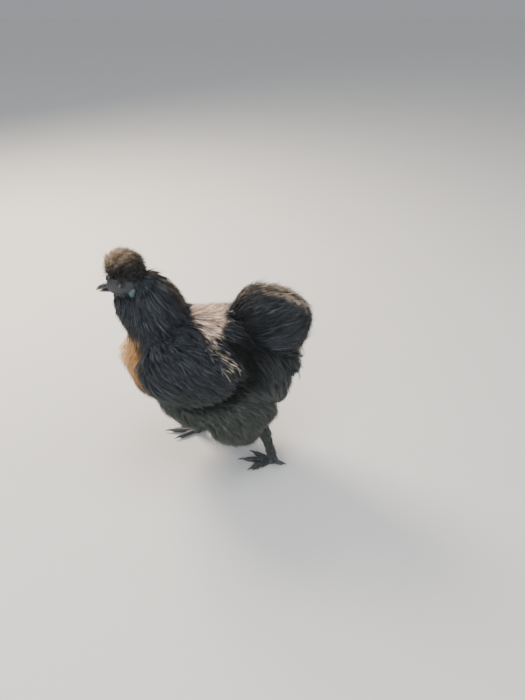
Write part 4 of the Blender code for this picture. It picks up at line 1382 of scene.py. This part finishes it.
def makeLyingCoat(name, ground, mask, coat, lieAt):
    draw = np.random.default_rng(coat["seed"])
    roots, normals = scatterRoots(ground, mask, coat["tufts"], draw)
    lengths = coat["length"] * draw.uniform(0.75, 1.2, len(roots))
    heights = coat["height"] * draw.uniform(0.5, coat["tall"], len(roots)) * overlapped(roots, name)
    lengths = fittedLengths(roots, lengths, name, draw)
    proud = draw.random(len(roots)) < coat["proud"]
    heights = np.minimum(heights * np.where(proud, 1.4, 1.0), lengths * np.where(proud, 0.65, 0.55))
    if name == "face":
        nape = eased(roots[:, 1], -0.098, -0.080)
        under = nape * eased(roots[:, 2], 0.297, 0.306)
        lengths, heights = lengths * (1 + 1.3 * nape + 0.8 * under), heights * (1 + 2.5 * nape + 3.0 * under)
    shade = edgeShade(roots) if ground is skinGround and not coat["paintedLight"] else 1.0
    path, upward = layPaths(ground, roots, normals, lieAt, coat, lengths, heights, draw)
    return makeCoat("coat_" + name, path, upward, coat, draw, unwrapOf(roots, coat["axis"]), shade)


def makeCrest(coat):
    # Loose strands that stand out of the crown to the crest's outline and fall over backwards.
    draw = np.random.default_rng(coat["seed"])
    form = loft("crest_outline", crestSettings["stations"], 32, 40)
    outline = treeOf(form)
    bpy.data.objects.remove(form)
    p = skinGround["middles"]
    crown = (faceForm == formNames.index("head")) & (p[:, 2] > coat["crown"]) & (p[:, 1] > coat["front"])
    mask = (faceForm == formNames.index("crest")) | crown
    roots, normals = scatterRoots(skinGround, mask, coat["tufts"], draw)
    middle = np.array(crestSettings["middle"])
    spread = unit(roots - middle + draw.normal(0, coat["jitter"], roots.shape))
    hind = eased(spread[:, 1], -0.2, 0.6) * eased(spread[:, 2], 0.35, -0.25)
    bent = unit(spread + np.array(coat["sweep"]) + hind[:, None] * np.array(coat["drape"]))
    radius = np.array([outline.ray_cast(Vector(middle), way)[3] for way in map(Vector, bent)]) + 0.004 * hind
    reach = draw.uniform(coat["low"], coat["high"], len(roots)) ** 0.5
    tips = middle + bent * (radius * reach)[:, None]
    rise = coat["hemSlope"] * np.maximum(abs(tips[:, 0]) - coat["hemInner"], 0)
    hem = coat["hem"] + rise + 0.010 * (reach - 0.85)
    lifted = eased(tips[:, 1], -0.088, -0.098) * (1 - 0.85 * eased(reach, 1.00, 1.06))
    tips[:, 2] += lifted * np.maximum(hem - tips[:, 2], 0)
    start = roots - normals * 0.0015
    length = np.linalg.norm(tips - start, axis=1)
    control = start + (spread * 0.45 + normals * 0.25) * length[:, None]
    t = np.linspace(0, 1, coat["sections"] + 1)[None, :, None]
    path = start[:, None] * (1 - t) ** 2 + control[:, None] * 2 * t * (1 - t) + tips[:, None] * t * t
    upward = unit(normals[:, None] * (1 - t) + np.array((0, 0.2, 1.0)) * t + 0.01)
    return makeCoat("coat_crest", path, upward, coat, draw, unwrapOf(roots, coat["axis"]))


def makeAllCoats():
    coats = [makeCrest(crestCoat)]
    masks = coatMasks(maskSettings)
    lies = {"tail_left": tailLie, "tail_right": tailLie, "fringe": fringeLie}
    for name in ("neck", "throat", "torso_front", "torso_back", "wing_left", "wing_right", "thigh_left",
                 "thigh_right", "tail_left", "tail_right", "face", "fringe", "vent", "belly"):
        lieAt = lies.get(name, bodyLie)
        coats.append(makeLyingCoat(name, skinGround, masks[name], coatSettings[name], lieAt))
    for side, word in sideNames:
        name = "leg_" + word
        coats.append(makeLyingCoat(name, legGround[side], legMask(side), coatSettings[name], legLie))
    for coat in coats:
        finishPiece(coat, "plumage", finish=plumage)


makeAllCoats()

print("face")

lobeSettings = {
    "place": (0.0170, -0.0958, 0.2950),
    "lean": 28.0,
    "folds": (  # out, back, up, and size
        (0, 0, 0.0010, 0.0032, 0.0040, 0.0054),
        (0.0002, 0.0008, -0.0028, 0.0032, 0.0038, 0.0040),
        (-0.0004, -0.0022, -0.0008, 0.0030, 0.0026, 0.0044),
    ),
    "wrinkle": 0.0003,
    "wrinkles": (620, 1500),  # to a metre, coarse and fine
    "voxel": 0.0004,
}
wattleSettings = {"place": (0.0066, -0.1215, 0.2850), "size": (0.0024, 0.0038, 0.0048)}
combSettings = {
    "place": (0.0, -0.1272, 0.3088),
    "bulb": 0.0044,
    "bulbs": 7,
    "mound": Vector((1.2, 1.2, 0.9)),  # of a bulb
    "ring": Vector((0.62, 0.62, 0.8)),
    "voxel": 0.0005,
}
billSettings = {  # pale is how far back from the tip the pale horn reaches
    "upper": {
        "stations": (
            (-0.1210, 0.2985, 0, 0),
            (-0.1270, 0.2985, 0.0066, 0.0047),
            (-0.1345, 0.2974, 0.0054, 0.0041),
            (-0.1420, 0.2950, 0.0035, 0.0032),
            (-0.1470, 0.2922, 0.0018, 0.0021),
            (-0.1492, 0.2896, 0, 0),
        ),
        "pale": 0.0050,
    },
    "lower": {
        "stations": (
            (-0.1210, 0.2912, 0, 0),
            (-0.1270, 0.2911, 0.0058, 0.0026),
            (-0.1340, 0.2905, 0.0046, 0.0024),
            (-0.1405, 0.2894, 0.0029, 0.0018),
            (-0.1455, 0.2880, 0, 0),
        ),
        "pale": 0.0075,
    },
}
nostrilSettings = {"place": (0.0040, -0.1364, 0.2988), "size": (0.0022, 0.0020, 0.0010), "depth": 0.0014}


def billMaterial():
    made, tree, shader, place = newMaterial("bill_horn")
    streak = signal(tree, "ShaderNodeMapping", None, {"Vector": place, "Scale": (900.0, 90.0, 900.0)})
    grain = noiseIn(tree, streak, 1.0, 3.0)
    dark = blended(grain, (0.022, 0.022, 0.025, 1), (0.075, 0.072, 0.075, 1))
    horn = blended(attributeValue(tree, "paleTip"), dark, (0.42, 0.33, 0.20, 1))
    # Painted shade in the nostrils' hollows.
    feed(shader, {"Base Color": blended(attributeValue(tree, "nostrilShade"), horn, (0.006, 0.005, 0.006, 1)),
                  "Roughness": 0.38, "Normal": bumped(tree, 0.25, 0.0002, grain)})
    return made


def eyeMaterial():
    made, tree, shader, place = newMaterial("eye")
    rim = attributeValue(tree, "fromPupil")
    iris = blended(rim.eased(0.34, 0.40), (0.002, 0.002, 0.002, 1), (0.014, 0.008, 0.006, 1))
    feed(shader, {"Base Color": blended(rim.eased(0.72, 0.80), iris, (0.010, 0.008, 0.008, 1)),
                  "Roughness": 0.08, "Coat Weight": 1.0, "Coat Roughness": 0.03})
    return made


def makeEye(side, word, finish):
    # A ball with a raised cornea, marked by the angle from its pupil.
    eye = ball("eye_ball_" + word, eyePlace(side), (eyeSettings["radius"],) * 3, 48, 32)
    out = eyeAxis(side)
    angles = []
    for vertex in eye.data.vertices:
        way = (vertex.co - eyePlace(side)).normalized()
        angles.append(way.angle(out))
        vertex.co += way * 0.0004 * max(way.dot(out) - 0.75, 0.0) / 0.25
    markPoints(eye, "fromPupil", angles)
    finishPiece(eye, "eye", "eye_" + word, finish=finish)


def makeBill(word, settings, finish):
    stations = settings["stations"]
    bill = loft(f"bill_{word}_horn", stations, 72, 64)
    tip = stations[-1][0]
    along = np.array([vertex.co.y for vertex in bill.data.vertices])
    markPoints(bill, "paleTip", eased(along, tip + settings["pale"], tip + 0.001))
    marks = np.zeros(len(along))
    # Nostril dents, marked for painted shade in their hollows.
    for vertex in bill.data.vertices if word == "upper" else ():
        for side, name in sideNames:
            offset = vertex.co - mirrored(nostrilSettings["place"], side)
            inside = sum((far / size) ** 2 for far, size in zip(offset, nostrilSettings["size"]))
            if inside < 1.0:
                marks[vertex.index] = 1 - inside**2
                vertex.co.x -= side * nostrilSettings["depth"] * (1 - inside)
    markPoints(bill, "nostrilShade", marks)
    finishPiece(bill, "horn", "bill_" + word, finish=finish)


def makeLobe(side, word, settings):
    # A soft folded disc, wrinkled all over.
    lean = Matrix.Rotation(math.radians(-settings["lean"]), 3, "X")
    middle = mirrored(settings["place"], side)
    folds = [ball("fold", middle + lean @ mirrored((out, back, up), side), size, 24, 18, lean)
             for out, back, up, *size in settings["folds"]]
    lobe = remeshed(joined("lobe_" + word, folds), settings["voxel"], 6)
    coarse, fine = settings["wrinkles"]
    for vertex in lobe.data.vertices:
        rough = noise.noise(vertex.co * coarse) + 0.5 * noise.noise(vertex.co * fine)
        vertex.co += vertex.normal * settings["wrinkle"] * rough
    finishPiece(lobe, "lobe_skin", "earlobe_" + word, finish=finishes["lobe_skin"])


def makeComb(settings):
    # A walnut comb: one low mound ringed by smaller ones.
    middle, bulb = Vector(settings["place"]), settings["bulb"]
    bulbs = [ball("comb", middle, settings["mound"] * bulb)]
    for i in range(settings["bulbs"]):
        turn = 2 * math.pi * i / settings["bulbs"]
        spot = middle + Vector((math.cos(turn), math.sin(turn), 0)) * bulb
        bulbs.append(ball("bulb", spot, settings["ring"] * bulb))
    comb = remeshed(joined("comb_walnut", bulbs), settings["voxel"], 2)
    finishPiece(comb, "comb_skin", "comb", finish=finishes["comb_skin"])


def makeFace():
    horn, gloss = billMaterial(), eyeMaterial()
    for word, settings in billSettings.items():
        makeBill(word, settings, horn)
    makeComb(combSettings)
    for side, word in sideNames:
        makeEye(side, word, gloss)
        makeLobe(side, word, lobeSettings)
        wattle = ball("wattle_skin_" + word, mirrored(wattleSettings["place"], side), wattleSettings["size"])
        finishPiece(wattle, "comb_skin", "wattle_" + word, finish=finishes["comb_skin"])


makeFace()

print("studio")

studioSettings = {
    "floor": (0.74, 0.73, 0.71),
    "floorMottle": 0.96,  # the floor's darker patches, as a share of its colour
    "floorSize": 12.0,
    "world": (0.80, 0.84, 0.90, 1),
    "worldStrength": 0.55,
    "backdrop": (0.345, 0.355, 0.375, 1),
    "lights": (  # name, place, aim, size, watts, colour
        ("rim", (-1.0, -0.9, 1.3), (0, 0, 0.2), 0.7, 52, (1.0, 0.86, 0.70)),
        ("fill", (1.4, -0.6, 1.2), (0, 0, 0.15), 1.4, 20, (0.90, 0.95, 1.0)),
        ("top", (0.1, 0.3, 1.8), (0, 0, 0.2), 1.2, 18, (1.0, 0.98, 0.95)),
    ),
}


def makeFloor(settings):
    bpy.ops.mesh.primitive_plane_add(size=settings["floorSize"])
    floor = bpy.context.object
    floor.name = "floor"
    made, tree, shader, place = newMaterial("floor")
    darker = tuple(part * settings["floorMottle"] for part in settings["floor"])
    mottle = noiseIn(tree, place, 6.0, 2.0)
    feed(shader, {"Base Color": blended(mottle, (*settings["floor"], 1), (*darker, 1)), "Roughness": 0.9})
    floor.data.materials.append(made)


def makeWorld(settings):
    # Soft sky light, with a plain backdrop where the camera sees past the floor.
    scene.world = bpy.data.worlds.new("studio")
    scene.world.use_nodes = True
    tree = scene.world.node_tree
    back = feed(tree.nodes["Background"], {"Color": settings["world"], "Strength": settings["worldStrength"]})
    seen = signal(tree, "ShaderNodeBackground", None, {"Color": settings["backdrop"], "Strength": 1.0})
    direct = signal(tree, "ShaderNodeLightPath", out="Is Camera Ray")
    chosen = signal(tree, "ShaderNodeMixShader", None, {0: direct, 1: Signal(back.outputs[0]), 2: seen})
    feed(tree.nodes["World Output"], {"Surface": chosen})


def makeLights(settings):
    for name, place, aim, size, watts, colour in settings["lights"]:
        lamp = bpy.data.lights.new(name, "AREA")
        lamp.size = size
        lamp.energy = watts
        lamp.color = colour
        obj = linked(name, lamp)
        obj.location = place
        obj.rotation_euler = (Vector(aim) - Vector(place)).to_track_quat("-Z", "Y").to_euler()


makeFloor(studioSettings)
makeWorld(studioSettings)
makeLights(studioSettings)

print("done")
